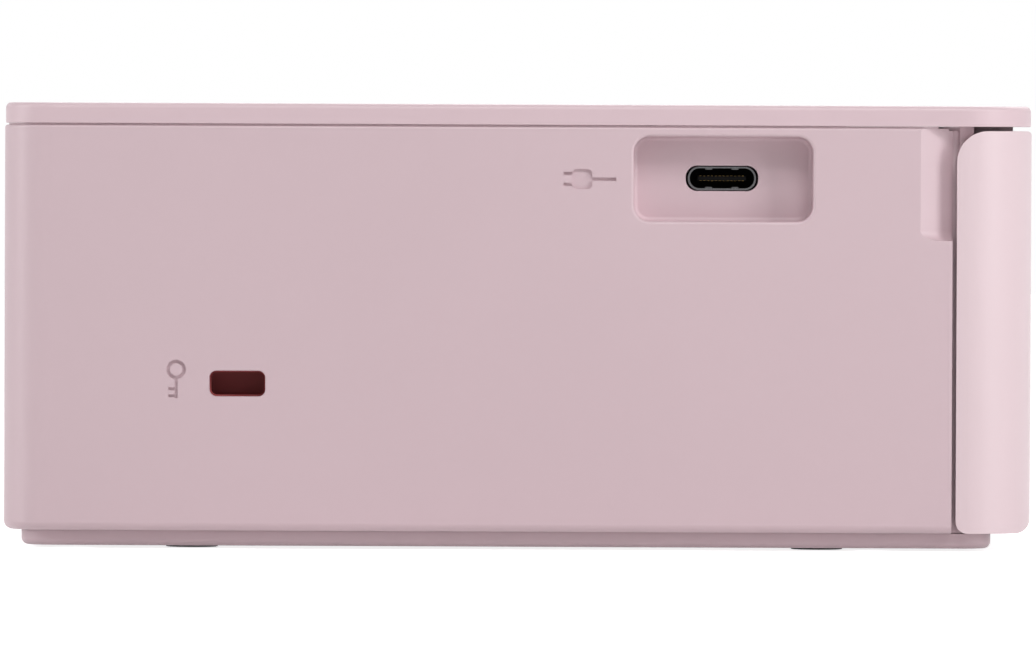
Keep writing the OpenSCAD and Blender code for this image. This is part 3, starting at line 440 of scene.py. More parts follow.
class Bench:
    """Modelling moves, each done with Blender's own operators on one piece at a time."""

    @staticmethod
    def only(piece: Piece) -> None:
        """Selects one piece and nothing else.

        Args:
            piece: The piece.
        """
        bpy.ops.object.select_all(action="DESELECT")
        piece.select_set(True)
        bpy.context.view_layer.objects.active = piece

    @staticmethod
    def named(name: str) -> Piece:
        """Names the piece just added and bakes its place into its mesh.

        Args:
            name: Name of the piece.

        Returns:
            The piece, with its object at the origin.
        """
        piece = bpy.context.active_object
        piece.name = name
        piece.data.name = name
        bpy.ops.object.transform_apply(location=True, rotation=True, scale=True)
        return piece

    @staticmethod
    def block(name: str, x: Span, y: Span, z: Span) -> Piece:
        """Adds a block between two values on each axis, in millimetres.

        Args:
            name: Name of the piece.
            x: Reach along X.
            y: Reach along Y.
            z: Reach along Z.

        Returns:
            The block.
        """
        bpy.ops.object.select_all(action="DESELECT")
        middle = [(a + b) / 2 * MM for a, b in (x, y, z)]
        size = [(b - a) * MM for a, b in (x, y, z)]
        bpy.ops.mesh.primitive_cube_add(size=1.0, location=middle, scale=size)
        return Bench.named(name)

    @staticmethod
    def rod(name: str, axis: Axis, radius: float, along: Span, at: Span, sides: int = 64) -> Piece:
        """Adds a round bar, in millimetres.

        Args:
            name: Name of the piece.
            axis: The axis it is turned about.
            radius: Its radius.
            along: Its two ends along the axis.
            at: Its place on the other two axes, in X, Y, Z order.
            sides: Number of flats.

        Returns:
            The bar.
        """
        bpy.ops.object.select_all(action="DESELECT")
        middle = list(at)
        middle.insert("XYZ".index(axis.name), (along[0] + along[1]) / 2)
        bpy.ops.mesh.primitive_cylinder_add(vertices=sides, radius=radius * MM,
            depth=(along[1] - along[0]) * MM, location=[c * MM for c in middle],
            rotation=axis.value)
        return Bench.named(name)

    @staticmethod
    def turn(piece: Piece, angle: float, place: Point) -> Piece:
        """Turns a piece about the origin's upright axis and then moves it.

        Args:
            piece: The piece.
            angle: Angle in degrees.
            place: Where the origin goes, in millimetres.

        Returns:
            The piece.
        """
        Bench.only(piece)
        piece.rotation_euler = (0.0, 0.0, math.radians(angle))
        piece.location = [c * MM for c in place]
        return Bench.named(piece.name)

    @staticmethod
    def edges(piece: Piece, test: EdgeTest) -> int:
        """Opens a piece for editing with the edges that pass a test selected.

        Args:
            piece: The piece.
            test: Takes an edge's middle in millimetres and its unit direction.

        Returns:
            How many edges are selected.
        """
        Bench.only(piece)
        bpy.ops.object.mode_set(mode="EDIT")
        bpy.ops.mesh.select_mode(type="EDGE")
        bpy.ops.mesh.select_all(action="DESELECT")
        mesh = bmesh.from_edit_mesh(piece.data)
        count = 0
        for edge in mesh.edges:
            first, second = (v.co / MM for v in edge.verts)
            if (second - first).length > 1e-6 and test((first + second) / 2, (second - first).normalized()):
                edge.select_set(True)
                count += 1
        bmesh.update_edit_mesh(piece.data)
        return count

    @staticmethod
    def bevel(piece: Piece, test: EdgeTest, width: float, segments: int = 4) -> Piece:
        """Rounds the edges that pass a test.

        Args:
            piece: The piece.
            test: As for edges.
            width: Radius of the rounding in millimetres.
            segments: Faces across the rounding.

        Returns:
            The piece.
        """
        if Bench.edges(piece, test):
            bpy.ops.mesh.bevel(offset_type="OFFSET", offset=width * MM, segments=segments,
                profile=0.5, affect="EDGES", clamp_overlap=True)
        else:
            log.warning("no edge to bevel on %s", piece.name)
        bpy.ops.object.mode_set(mode="OBJECT")
        return piece

    @staticmethod
    def _combine(piece: Piece, other: Piece, operation: str) -> Piece:
        """Joins or cuts with another solid, which is used up.

        Args:
            piece: The piece that stays.
            other: The solid that is added or taken away.
            operation: UNION, DIFFERENCE or INTERSECT.

        Returns:
            The piece.
        """
        Bench.only(piece)
        boolean = piece.modifiers.new("combine", "BOOLEAN")
        boolean.operation = operation
        boolean.solver = "EXACT"
        boolean.object = other
        bpy.ops.object.modifier_apply(modifier=boolean.name)
        bpy.data.objects.remove(other)
        return piece

    @staticmethod
    def cut(piece: Piece, *cutters: Piece) -> Piece:
        """Takes solids away from a piece.

        Args:
            piece: The piece.
            cutters: The solids, which are used up.

        Returns:
            The piece.
        """
        for cutter in cutters:
            Bench._combine(piece, cutter, "DIFFERENCE")
        return piece

    @staticmethod
    def add(piece: Piece, *solids: Piece) -> Piece:
        """Fuses solids with a piece.

        Args:
            piece: The piece.
            solids: The solids, which are used up.

        Returns:
            The piece.
        """
        for solid in solids:
            Bench._combine(piece, solid, "UNION")
        return piece

    @staticmethod
    def meet(piece: Piece, solid: Piece) -> Piece:
        """Keeps what a piece has in common with a solid."""
        return Bench._combine(piece, solid, "INTERSECT")

    @staticmethod
    def soften(piece: Piece, width: float, segments: int = 2,
            angle: float = 40.0) -> Piece:
        """Rounds every edge sharper than an angle.

        Args:
            piece: The piece.
            width: Radius of the rounding in millimetres.
            segments: Faces across the rounding.
            angle: Edges flatter than this stay, in degrees.

        Returns:
            The piece.
        """
        Bench.only(piece)
        bevel = piece.modifiers.new("soften", "BEVEL")
        bevel.width = width * MM
        bevel.segments = segments
        bevel.limit_method = "ANGLE"
        bevel.angle_limit = math.radians(angle)
        bevel.use_clamp_overlap = True
        bpy.ops.object.modifier_apply(modifier=bevel.name)
        return piece

    @staticmethod
    def settle(piece: Piece, angle: float = 32.0) -> Piece:
        """Gives smooth shading that keeps flat faces flat.

        Args:
            piece: The piece.
            angle: Edges sharper than this stay sharp, in degrees.

        Returns:
            The piece.
        """
        Bench.only(piece)
        bpy.ops.object.shade_smooth_by_angle(angle=math.radians(angle))
        weigh = piece.modifiers.new("weigh", "WEIGHTED_NORMAL")
        weigh.keep_sharp = True
        bpy.ops.object.modifier_apply(modifier=weigh.name)
        return piece

    @staticmethod
    def copy(piece: Piece, name: str, shift: Point) -> Piece:
        """Copies a piece with its own mesh and moves the copy.

        Args:
            piece: The piece.
            name: Name of the copy.
            shift: How far the copy lies away, in millimetres.

        Returns:
            The copy.
        """
        Bench.only(piece)
        bpy.ops.object.duplicate(linked=False)
        twin = bpy.context.active_object
        twin.location = [c * MM for c in shift]
        return Bench.named(name)

    @staticmethod
    def join(pieces: Sequence[Piece], name: str) -> Piece:
        """Puts several solids into one object.

        Args:
            pieces: The solids; the first one stays.
            name: Name of the result.

        Returns:
            The joined object.
        """
        Bench.only(pieces[0])
        for piece in pieces[1:]:
            piece.select_set(True)
        if len(pieces) > 1:
            bpy.ops.object.join()
        pieces[0].name = name
        pieces[0].data.name = name
        return pieces[0]

    @staticmethod
    def tile(name: str, axis: Axis, along: Span, middle: Span, size: Span, corner: float,
            segments: int = 8) -> Piece:
        """Adds a plate with rounded corners.

        Args:
            name: Name of the piece.
            axis: The axis that the plate faces.
            along: Its two faces along that axis, in millimetres.
            middle: Its middle on the other two axes, in X, Y, Z order.
            size: Its size on the other two axes.
            corner: Radius of its corners.
            segments: Faces across a corner.

        Returns:
            The plate.
        """
        reach = [(m - s / 2, m + s / 2) for m, s in zip(middle, size)]
        number = "XYZ".index(axis.name)
        reach.insert(number, along)
        plate = Bench.block(name, *reach)
        return Bench.bevel(plate, lambda at, way: abs(way[number]) > 0.9, corner, segments)


class Part:
    """What every sub-assembly shares: dressing a piece and reporting it."""

    def dress(self, piece: Piece, body: str, finish: Finish, *nodes: str) -> Piece:
        """Gives a piece its shading, its finish, its body and the nodes that it stands for.

        Args:
            piece: The piece.
            body: The CAD body that it moves with.
            finish: The finish whose material it takes.
            nodes: CAD nodes that it replaces.

        Returns:
            The piece.
        """
        Bench.settle(piece)
        if not piece.data.materials:
            piece.data.materials.append(Paint.of(finish))
        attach(piece, body)
        if nodes:
            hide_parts(*nodes)
        log.info("%s: %d faces on %s", piece.name, len(piece.data.polygons), body)
        return piece


class Paint:
    """Builds each finish's material once."""

    made: dict[str, Material] = {}

    @classmethod
    def of(cls, finish: Finish) -> Material:
        """Gives a finish's material.

        Args:
            finish: The finish.

        Returns:
            The material, built at the first call.
        """
        if finish.name not in cls.made:
            cls.made[finish.name] = finish.material()
        return cls.made[finish.name]


def upright(_: Vector, way: Vector) -> bool:
    """True for an edge along Z."""
    return abs(way.z) > 0.99


# ---------------------------------------------------------------- outer case


@dataclass
class Case(Part):
    """The body shell, its front panel and the base under them."""

    half_w: float = span("body_shell", 0)[1]
    half_d: float = span("body_shell", 1)[1]
    front_y: float = span("body_shell", 1)[0]
    skirt: float = span("body_shell", 2)[0]
    top: float = span("body_shell", 2)[1]
    wall: float = WALL
    rear_r: float = 6.5
    front_r: float = FRONT_R
    skirt_r: float = 1.1
    rim_r: float = 0.45
    edge_r: float = 0.45
    port: Span = (-26.45, 48.05)
    port_size: Span = (23.1, 10.9)
    port_deep: float = 4.6
    socket_size: Span = (9.4, 3.3)
    lock: Span = (36.2, 21.4)
    lock_size: Span = (7.2, 3.3)
    scoop_y: float = -51.9
    scoop_z: float = 40.2
    scoop_turn: float = 31.0
    scoop_r: float = 1.3
    lid_under: float = span("top_cover", 2)[1] - LID_THICK
    toe_y: float = -61.3
    toe_r: float = 4.0
    sole_r: float = 0.9
    side_y: Span = (-18.0, 56.0)
    side_z: Span = (21.6, 50.4)
    outlet_x: Span = (-60.0, 48.0)
    outlet_z: Span = (23.4, 29.0)
    vent_at: Span = (58.9, 40.0)
    vent_size: Span = (1.8, 12.0)
    vent_pitch: float = 4.0
    vents: int = 7
    base_vent_at: Span = (60.8, 5.0)
    base_vent_size: Span = (1.6, 30.0)
    base_vents: int = 5
    seam: Span = (0.5, 0.9)
    seam_gap: float = 0.02
    scoop_rim_x: Span = (-88.0, -86.6)
    scoop_back_x: float = -85.3
    stop_x: Span = (-88.4, -87.6)
    stop_root_x: float = -89.1
    ledge_x: float = -72.0
    ledge_z: Span = (38.0, 45.25)
    boss_r: float = 3.0
    boss_z: Span = (3.6, 24.0)
    lip_wall: float = 1.5
    gate_x: Span = (-63.8, 51.8)
    arm_z: Span = (2.75, 5.35)
    heel_z: Span = (1.4, 5.4)
    eye_r: float = 1.7
    bore_r: float = 0.85
    screw_head_r: float = 2.6
    screw_head_deep: float = 1.2
    screw_r: float = 1.35
    foot_r: float = 3.45
    foot_play: float = 0.05
    foot_deep: float = 0.8
    post_x: Span = (-32.0, 46.0)
    post_y: Span = (17.0, 57.5)
    slot_x: Span = (56.4, 80.4)
    slot_z: Span = (29.2, 31.3)
    plug_at: Span = (-9.2, 48.0)
    key_at: Span = (44.1, 22.0)
    card_at: Span = (68.4, 36.6)
    mark_deep: float = 0.4

    @property
    def inner_x(self) -> float:
        """Where the side walls' inner faces lie."""
        return self.half_w - self.wall

    def _at_rear_corner(self, at: Vector, way: Vector) -> bool:
        """True for the two upright rear edges."""
        return upright(at, way) and at.y > self.half_d - 1

    def _at_foot(self, at: Vector, way: Vector) -> bool:
        """True for the lower outer edge, apart from the stretch behind the door."""
        return at.z < self.skirt + 0.01 and at.y > self.front_y + 0.01

    def _at_top(self, at: Vector, way: Vector) -> bool:
        """True for the upper outer edge."""
        return at.z > self.top - 0.01 and at.y > self.front_y + 0.01

    def shell(self) -> Piece:
        """Models the body shell.

        Returns:
            The shell.
        """
        shell = Bench.block("body_shell_skin", (-self.half_w, self.half_w),
            (self.front_y, self.half_d), (self.skirt, self.top))
        Bench.bevel(shell, self._at_rear_corner, self.rear_r, 14)
        Bench.bevel(shell, self._at_foot, self.skirt_r, 5)
        Bench.bevel(shell, self._at_top, 0.3, 3)
        core = Bench.block("core", (-self.inner_x, self.inner_x),
            (self.front_y - 5, self.half_d - self.wall), (self.skirt - 5, self.top + 5))
        Bench.bevel(core, self._at_core_corner, self.rear_r - self.wall, 10)
        Bench.cut(shell, core)
        Bench.add(shell, *self._linings())
        Bench.cut(shell, *self._recesses())
        Bench.bevel(shell, self._at_rim, self.rim_r, 4)
        Bench.bevel(shell, self._at_front_edge, self.edge_r, 4)
        Bench.cut(shell, *self._holes(), *self.plug_mark(), *self.key_mark())
        Bench.bevel(shell, self._at_lock_rim, 0.2, 2)
        Bench.add(shell, self._scoop_rim())
        return self.dress(shell, "frame", SHELL, "body_shell")

    def _at_core_corner(self, at: Vector, way: Vector) -> bool:
        """True for the inner rear corners."""
        return upright(at, way) and at.y > self.half_d - self.wall - 1

    def _at_rim(self, at: Vector, way: Vector) -> bool:
        """True for the rim of the socket recess in the left wall."""
        return self._round_opening(at, self.port, self.port_size)

    def _at_front_edge(self, at: Vector, way: Vector) -> bool:
        """Tells whether an edge belongs to the scoop's outline or the left wall's edge below it.

        Args:
            at: The edge's middle, in millimetres.
            way: Its direction.

        Returns:
            True if it does.
        """
        on_wall = abs(at.x + self.half_w) < 0.01
        by_scoop = at.y < self.scoop_y + 0.1 and self.scoop_z - 0.05 < at.z < self.top - 0.05
        by_door = abs(at.y - self.front_y) < 0.01 and self.skirt + 0.05 < at.z < self.scoop_z
        return on_wall and (by_scoop or by_door)

    def _at_lock_rim(self, at: Vector, way: Vector) -> bool:
        """True for the rim of the security slot."""
        return self._round_opening(at, self.lock, self.lock_size)

    def _round_opening(self, at: Vector, middle: Span, size: Span) -> bool:
        """Tells whether a point lies on the left wall's face, on or within an opening's rim.

        Args:
            at: The point, in millimetres.
            middle: The opening's middle in Y and Z.
            size: Its size in Y and Z.

        Returns:
            True on or within the rim.
        """
        on_wall = abs(at.x + self.half_w) < 0.01
        return (on_wall and abs(at.y - middle[0]) < size[0] / 2 + 0.1
            and abs(at.z - middle[1]) < size[1] / 2 + 0.1)

    def _ring(self, name: str, inset: float, thick: float, z: Span) -> Piece:
        """A rim that follows the two side walls and the rear wall.

        Args:
            name: Name of the piece.
            inset: How far its outer face lies inside the walls' faces.
            thick: How thick it is.
            z: Its foot and top.

        Returns:
            The rim.
        """
        outer, inner = inset, inset + thick
        ring = Bench.block(name, (outer - self.half_w, self.half_w - outer),
            (self.front_y + 0.6, self.half_d - outer), z)
        Bench.bevel(ring, self._at_rear_corner, self.rear_r - outer, 12)
        room = Bench.block("room", (inner - self.half_w, self.half_w - inner),
            (self.front_y - 5, self.half_d - inner), (z[0] - 1, z[1] + 1))
        Bench.bevel(room, lambda at, way: upright(at, way) and at.y > self.half_d - inner - 1,
            self.rear_r - inner, 12)
        return Bench.cut(ring, room)

    def _scoop_rim(self) -> Piece:
        """The rim that closes the seam under the lid behind the scoop."""
        return Bench.block("scoop_rim", self.scoop_rim_x, (self.front_y - 1.0, self.front_y + 5.2),
            (self.top - 1.0, self.lid_under - self.seam_gap))

    def _linings(self) -> list[Piece]:
        """Walls behind the recess and the scoop, the seam's rim, the door's stop, ledges and bosses.

        Returns:
            The solids to fuse with the shell.
        """
        inner = self.inner_x
        floor_x = -self.half_w + self.port_deep
        solids = [
            self._ring("seam_rim", *self.seam, (self.top - 0.6, self.lid_under - self.seam_gap)),
            Bench.block("door_stop", self.stop_x, (self.front_y - 1.3, self.front_y + 1.0),
                (self.skirt + 0.05, self.top - 0.3)),
            Bench.block("stop_root", (self.stop_root_x, self.stop_x[1]),
                (self.front_y + 0.1, self.front_y + 1.0), (self.skirt + 1.2, self.top - 0.3)),
            Bench.tile("pocket", Axis.X, (-self.half_w + 0.5, floor_x + 1.6), self.port,
                (self.port_size[0] + 3, self.port_size[1] + 2.3), 2.0, 4),
            Bench.block("scoop_back", (-inner - 0.5, self.scoop_back_x), (self.front_y, self.front_y + 5.3),
                (self.scoop_z - 1.5, self.top - 0.3)),
        ]
        for y in (self.port[0] - 9, self.port[0] + 9):
            solids.append(Bench.block("ledge", (-inner - 1, self.ledge_x), (y - 0.8, y + 0.8), self.ledge_z))
        for y in (self.side_y[0] - 2.2, self.side_y[1] + 0.1):
            solids.append(Bench.block("jamb", (self.half_w - 3.9, inner + 0.5), (y, y + 2.1),
                (self.side_z[0] - 1, self.side_z[0] + 4)))
        foot, head = self.skirt + self.boss_z[0], self.boss_z[1]
        for x, y in SCREWS:
            solids.append(Bench.rod("boss", Axis.Z, self.boss_r, (foot, head), (x, y), 32))
            web = (-inner - 1, x) if x < 0 else (x, inner + 1)
            solids.append(Bench.block("web", web, (y - 1, y + 1), (foot, head - 0.5)))
        return solids

    def _recesses(self) -> list[Piece]:
        """The socket recess and the finger scoop, with rounded floors.

        Returns:
            The solids to take away.
        """
        floor_x = -self.half_w + self.port_deep
        pocket = Bench.tile("recess", Axis.X, (-self.half_w - 3, floor_x), self.port,
            self.port_size, 2.0, 8)
        Bench.bevel(pocket, lambda at, way: at.x > floor_x - 0.01, 0.6, 4)
        scoop = Bench.block("scoop", (-8, 0), (-9, 6), (self.scoop_z, self.top + 5))
        Bench.bevel(scoop, lambda at, way: at.z < self.scoop_z + 0.01 and at.x > -0.01, self.scoop_r, 8)
        return [pocket, Bench.turn(scoop, self.scoop_turn, (-self.half_w, self.scoop_y, 0.0))]

    def _holes(self) -> list[Piece]:
        """The socket's mouth, security slot, side opening, sheet outlet, jack hole and vents.

        Returns:
            The solids to take away.
        """
        half_w, half_d, inner = self.half_w, self.half_d, self.inner_x
        floor_x = -half_w + self.port_deep
        mouth = Bench.tile("mouth", Axis.X, (floor_x - 0.5, floor_x + 3), DATA_SOCKET,
            self.socket_size, 1.5, 8)
        lock = Bench.tile("lock", Axis.X, (-half_w - 1, -inner + 1), self.lock, self.lock_size, 0.9, 6)
        opening = Bench.block("side_opening", (inner - 0.2, half_w + 1), self.side_y, self.side_z)
        Bench.bevel(opening, lambda at, way: abs(way.x) > 0.9, 0.5, 3)
        hinge = Bench.rod("hinge_bore", Axis.Y, self.bore_r, (self.side_y[0] - 2, self.side_y[1] + 2),
            (half_w - 1.5, self.side_z[0] + 1.9), 32)
        through = (half_d - self.wall - 1, half_d + 1)
        outlet = Bench.block("outlet", self.outlet_x, through, self.outlet_z)
        Bench.bevel(outlet, lambda at, way: abs(way.y) > 0.9, 1.2, 5)
        jack = Bench.rod("jack_hole", Axis.Y, 3.2, through, JACK, 48)
        x, z = self.vent_at
        vents = [Bench.tile("vent", Axis.Y, through, (x + self.vent_pitch * k, z), self.vent_size, 0.85, 5)
            for k in range(self.vents)]
        return [mouth, lock, opening, hinge, outlet, jack, *vents]

    def plug_mark(self) -> list[Piece]:
        """A plain pictogram of a plug and its lead, sunk in the wall beside the socket.

        Returns:
            The solids to take away.
        """
        y, z = self.plug_at
        deep = (-self.half_w - 1, -self.half_w + self.mark_deep)
        lead = Bench.block("lead", deep, (y - 3.4, y - 0.2), (z - 0.22, z + 0.22))
        plug = Bench.tile("plug", Axis.X, deep, (y + 1, z), (2.6, 2.6), 0.6, 5)
        prongs = [Bench.block("prong", deep, (y + 2.3, y + 3.4), (z + s - 0.22, z + s + 0.22))
            for s in (-0.7, 0.7)]
        return [lead, plug, *prongs]

    def key_mark(self) -> list[Piece]:
        """A plain pictogram of a key, sunk in the wall beside the security slot.

        Returns:
            The solids to take away.
        """
        y, z = self.key_at
        deep = (-self.half_w - 1, -self.half_w + self.mark_deep)
        bow = Bench.rod("bow", Axis.X, 1.25, deep, (y, z + 1.2), 40)
        Bench.cut(bow, Bench.rod("eye", Axis.X, 0.8, (deep[0] - 1, deep[1] + 1), (y, z + 1.2), 40))
        stem = Bench.block("stem", deep, (y - 0.2, y + 0.2), (z - 2.5, z))
        teeth = [Bench.block("tooth", deep, (y + 0.1, y + 1), (z + s, z + s + 0.4))
            for s in (-2.4, -1.5)]
        return [bow, stem, *teeth]

    def base(self) -> Piece:
        """Models the base: a pan with rounded lower edges, a locating lip and vents.

        Returns:
            The base.
        """
        low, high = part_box("base_cover")
        x = (low.x / MM, high.x / MM)
        y = (low.y / MM, high.y / MM)
        z = low.z / MM
        pan = Bench.block("base_cover_skin", x, (self.toe_y, y[1]), (z, self.skirt - 0.05))
        Bench.bevel(pan, lambda at, way: upright(at, way) and at.y > 0, self.rear_r - self.wall, 10)
        Bench.bevel(pan, lambda at, way: upright(at, way) and at.y < 0, self.toe_r, 8)
        Bench.bevel(pan, lambda at, way: at.z < z + 0.01, self.sole_r, 5)
        lip = Bench.block("lip", (x[0] + 0.05, x[1] - 0.05), (self.front_y + 2.5, y[1] - 0.05),
            (self.skirt - 0.6, self.skirt + 3))
        Bench.bevel(lip, lambda at, way: upright(at, way) and at.y > 0, self.rear_r - self.wall, 8)
        room = Bench.block("room", (x[0] + self.lip_wall, x[1] - self.lip_wall),
            (self.front_y + 4, y[1] - self.lip_wall), (self.skirt - 2, self.skirt + 6))
        Bench.cut(lip, room, Bench.block("gate", self.gate_x, (self.front_y + 2, self.front_y + 5),
            (self.skirt - 0.02, self.skirt + 4)))
        Bench.add(pan, lip)
        for low_x, high_x in HINGE_BRACKETS:
            arm = Bench.block("arm", (low_x + 0.1, high_x - 0.1), (DOOR_HINGE[0], self.toe_y + 1.5),
                self.arm_z)
            eye = Bench.rod("eye", Axis.X, self.eye_r, (low_x, high_x), DOOR_HINGE, 32)
            heel = Bench.block("heel", (low_x + 0.05, high_x - 0.05),
                (self.toe_y + 0.6, self.front_y - 0.5), self.heel_z)
            bore = Bench.rod("bore", Axis.X, self.bore_r, (low_x - 1, high_x + 1), DOOR_HINGE, 24)
            Bench.add(pan, arm, eye, heel)
            Bench.cut(pan, bore)
        for place in ((px, py) for px in self.post_x for py in self.post_y):
            Bench.add(pan, Bench.rod("post", Axis.Z, self.boss_r, (self.skirt - 0.5, 6.0), place, 32))
        for k in range(self.base_vents):
            at = (self.base_vent_at[0] + self.vent_pitch * k, self.base_vent_at[1])
            Bench.cut(pan, Bench.tile("vent", Axis.Z, (-1, self.skirt + 1), at, self.base_vent_size, 0.75, 4))
        for place in SCREWS:
            Bench.cut(pan,
                Bench.rod("seat", Axis.Z, self.screw_head_r, (-1, z + self.screw_head_deep), place, 32),
                Bench.rod("shank", Axis.Z, self.screw_r, (-1, self.skirt + 4), place, 24))
        for place in FEET_AT:
            Bench.cut(pan, Bench.rod("pad", Axis.Z, self.foot_r + self.foot_play, (-1, z + self.foot_deep),
                place, 48))
        return self.dress(pan, "frame", SHELL, "base_cover")

    def front_panel(self) -> Piece:
        """Models the fixed front corner with the card slot.

        Returns:
            The panel.
        """
        x, y, z = (span("front_panel", axis) for axis in range(3))
        panel = Bench.block("front_panel_skin", x, y, z)
        Bench.bevel(panel, lambda at, way: upright(at, way) and at.x > x[1] - 1 and at.y < y[0] + 1,
            self.front_r, 16)
        Bench.bevel(panel, lambda at, way: at.z < z[0] + 0.01 and at.y < y[1] - 0.01 and at.x > x[0] + 0.01,
            self.skirt_r, 5)
        Bench.bevel(panel, lambda at, way: at.z > z[1] - 0.01 and at.y < y[1] - 0.01, 0.5, 3)
        core = Bench.block("core", (x[0] + 2.0, self.inner_x), (y[0] + self.wall, y[1] + 4),
            (z[0] - 5, z[1] + 5))
        Bench.bevel(core, lambda at, way: upright(at, way) and at.x > self.inner_x - 1 and at.y < y[0] + 4,
            self.front_r - self.wall, 12)
        Bench.cut(panel, core)
        slot = Bench.block("card_slot", self.slot_x, (y[0] - 1, y[0] + 5), self.slot_z)
        Bench.bevel(slot, lambda at, way: abs(way.y) > 0.9, 0.3, 3)
        Bench.cut(panel, slot)
        Bench.bevel(panel, lambda at, way: abs(at.y - y[0]) < 0.01
            and self.slot_z[0] - 0.15 < at.z < self.slot_z[1] + 0.15
            and self.slot_x[0] - 0.4 < at.x < self.slot_x[1] + 0.6, 0.35, 3)
        Bench.cut(panel, *self.card_mark(y[0]))
        # The front corner takes the door's pink, lightened with painted sheen and highlight.
        return self.dress(panel, "frame", PINK_DOOR_PAINTED_SHEEN, "front_panel")

    def card_mark(self, face_y: float) -> list[Piece]:
        """A plain outline of a card with one cut corner, sunk over the card slot.

        Args:
            face_y: Where the panel's face lies.

        Returns:
            The solids to take away.
        """
        deep = (face_y - 1, face_y + self.mark_deep)
        x, z = self.card_at
        card = Bench.block("card", (x - 1.7, x + 1.7), deep, (z - 2.1, z + 2.1))
        Bench.bevel(card, lambda at, way: abs(way.y) > 0.9 and at.x > x and at.z > z, 1.1, 1)
        field_in = Bench.block("card_in", (x - 1.3, x + 1.3), (deep[0] - 1, deep[1] + 1),
            (z - 1.7, z + 1.7))
        Bench.bevel(field_in, lambda at, way: abs(way.y) > 0.9 and at.x > x and at.z > z, 0.9, 1)
        Bench.cut(card, field_in)
        return [card]

    def feet(self) -> Piece:
        """Models the four rubber feet with a crowned lower face.

        Returns:
            The feet as one piece.
        """
        z = span("rubber_feet", 2)
        x, y = FEET_AT[0]
        first = Bench.rod("rubber_feet_skin", Axis.Z, self.foot_r, z, (x, y), 48)
        Bench.bevel(first, lambda at, way: at.z < z[0] + 0.01 and abs(way.z) < 0.1, 0.3, 3)
        others = [Bench.copy(first, "foot", (far_x - x, far_y - y, 0)) for far_x, far_y in FEET_AT[1:]]
        feet = Bench.join([first, *others], "rubber_feet_skin")
        return self.dress(feet, "frame", FEET, "rubber_feet")


# ---------------------------------------------------------------- lid, screen and keys


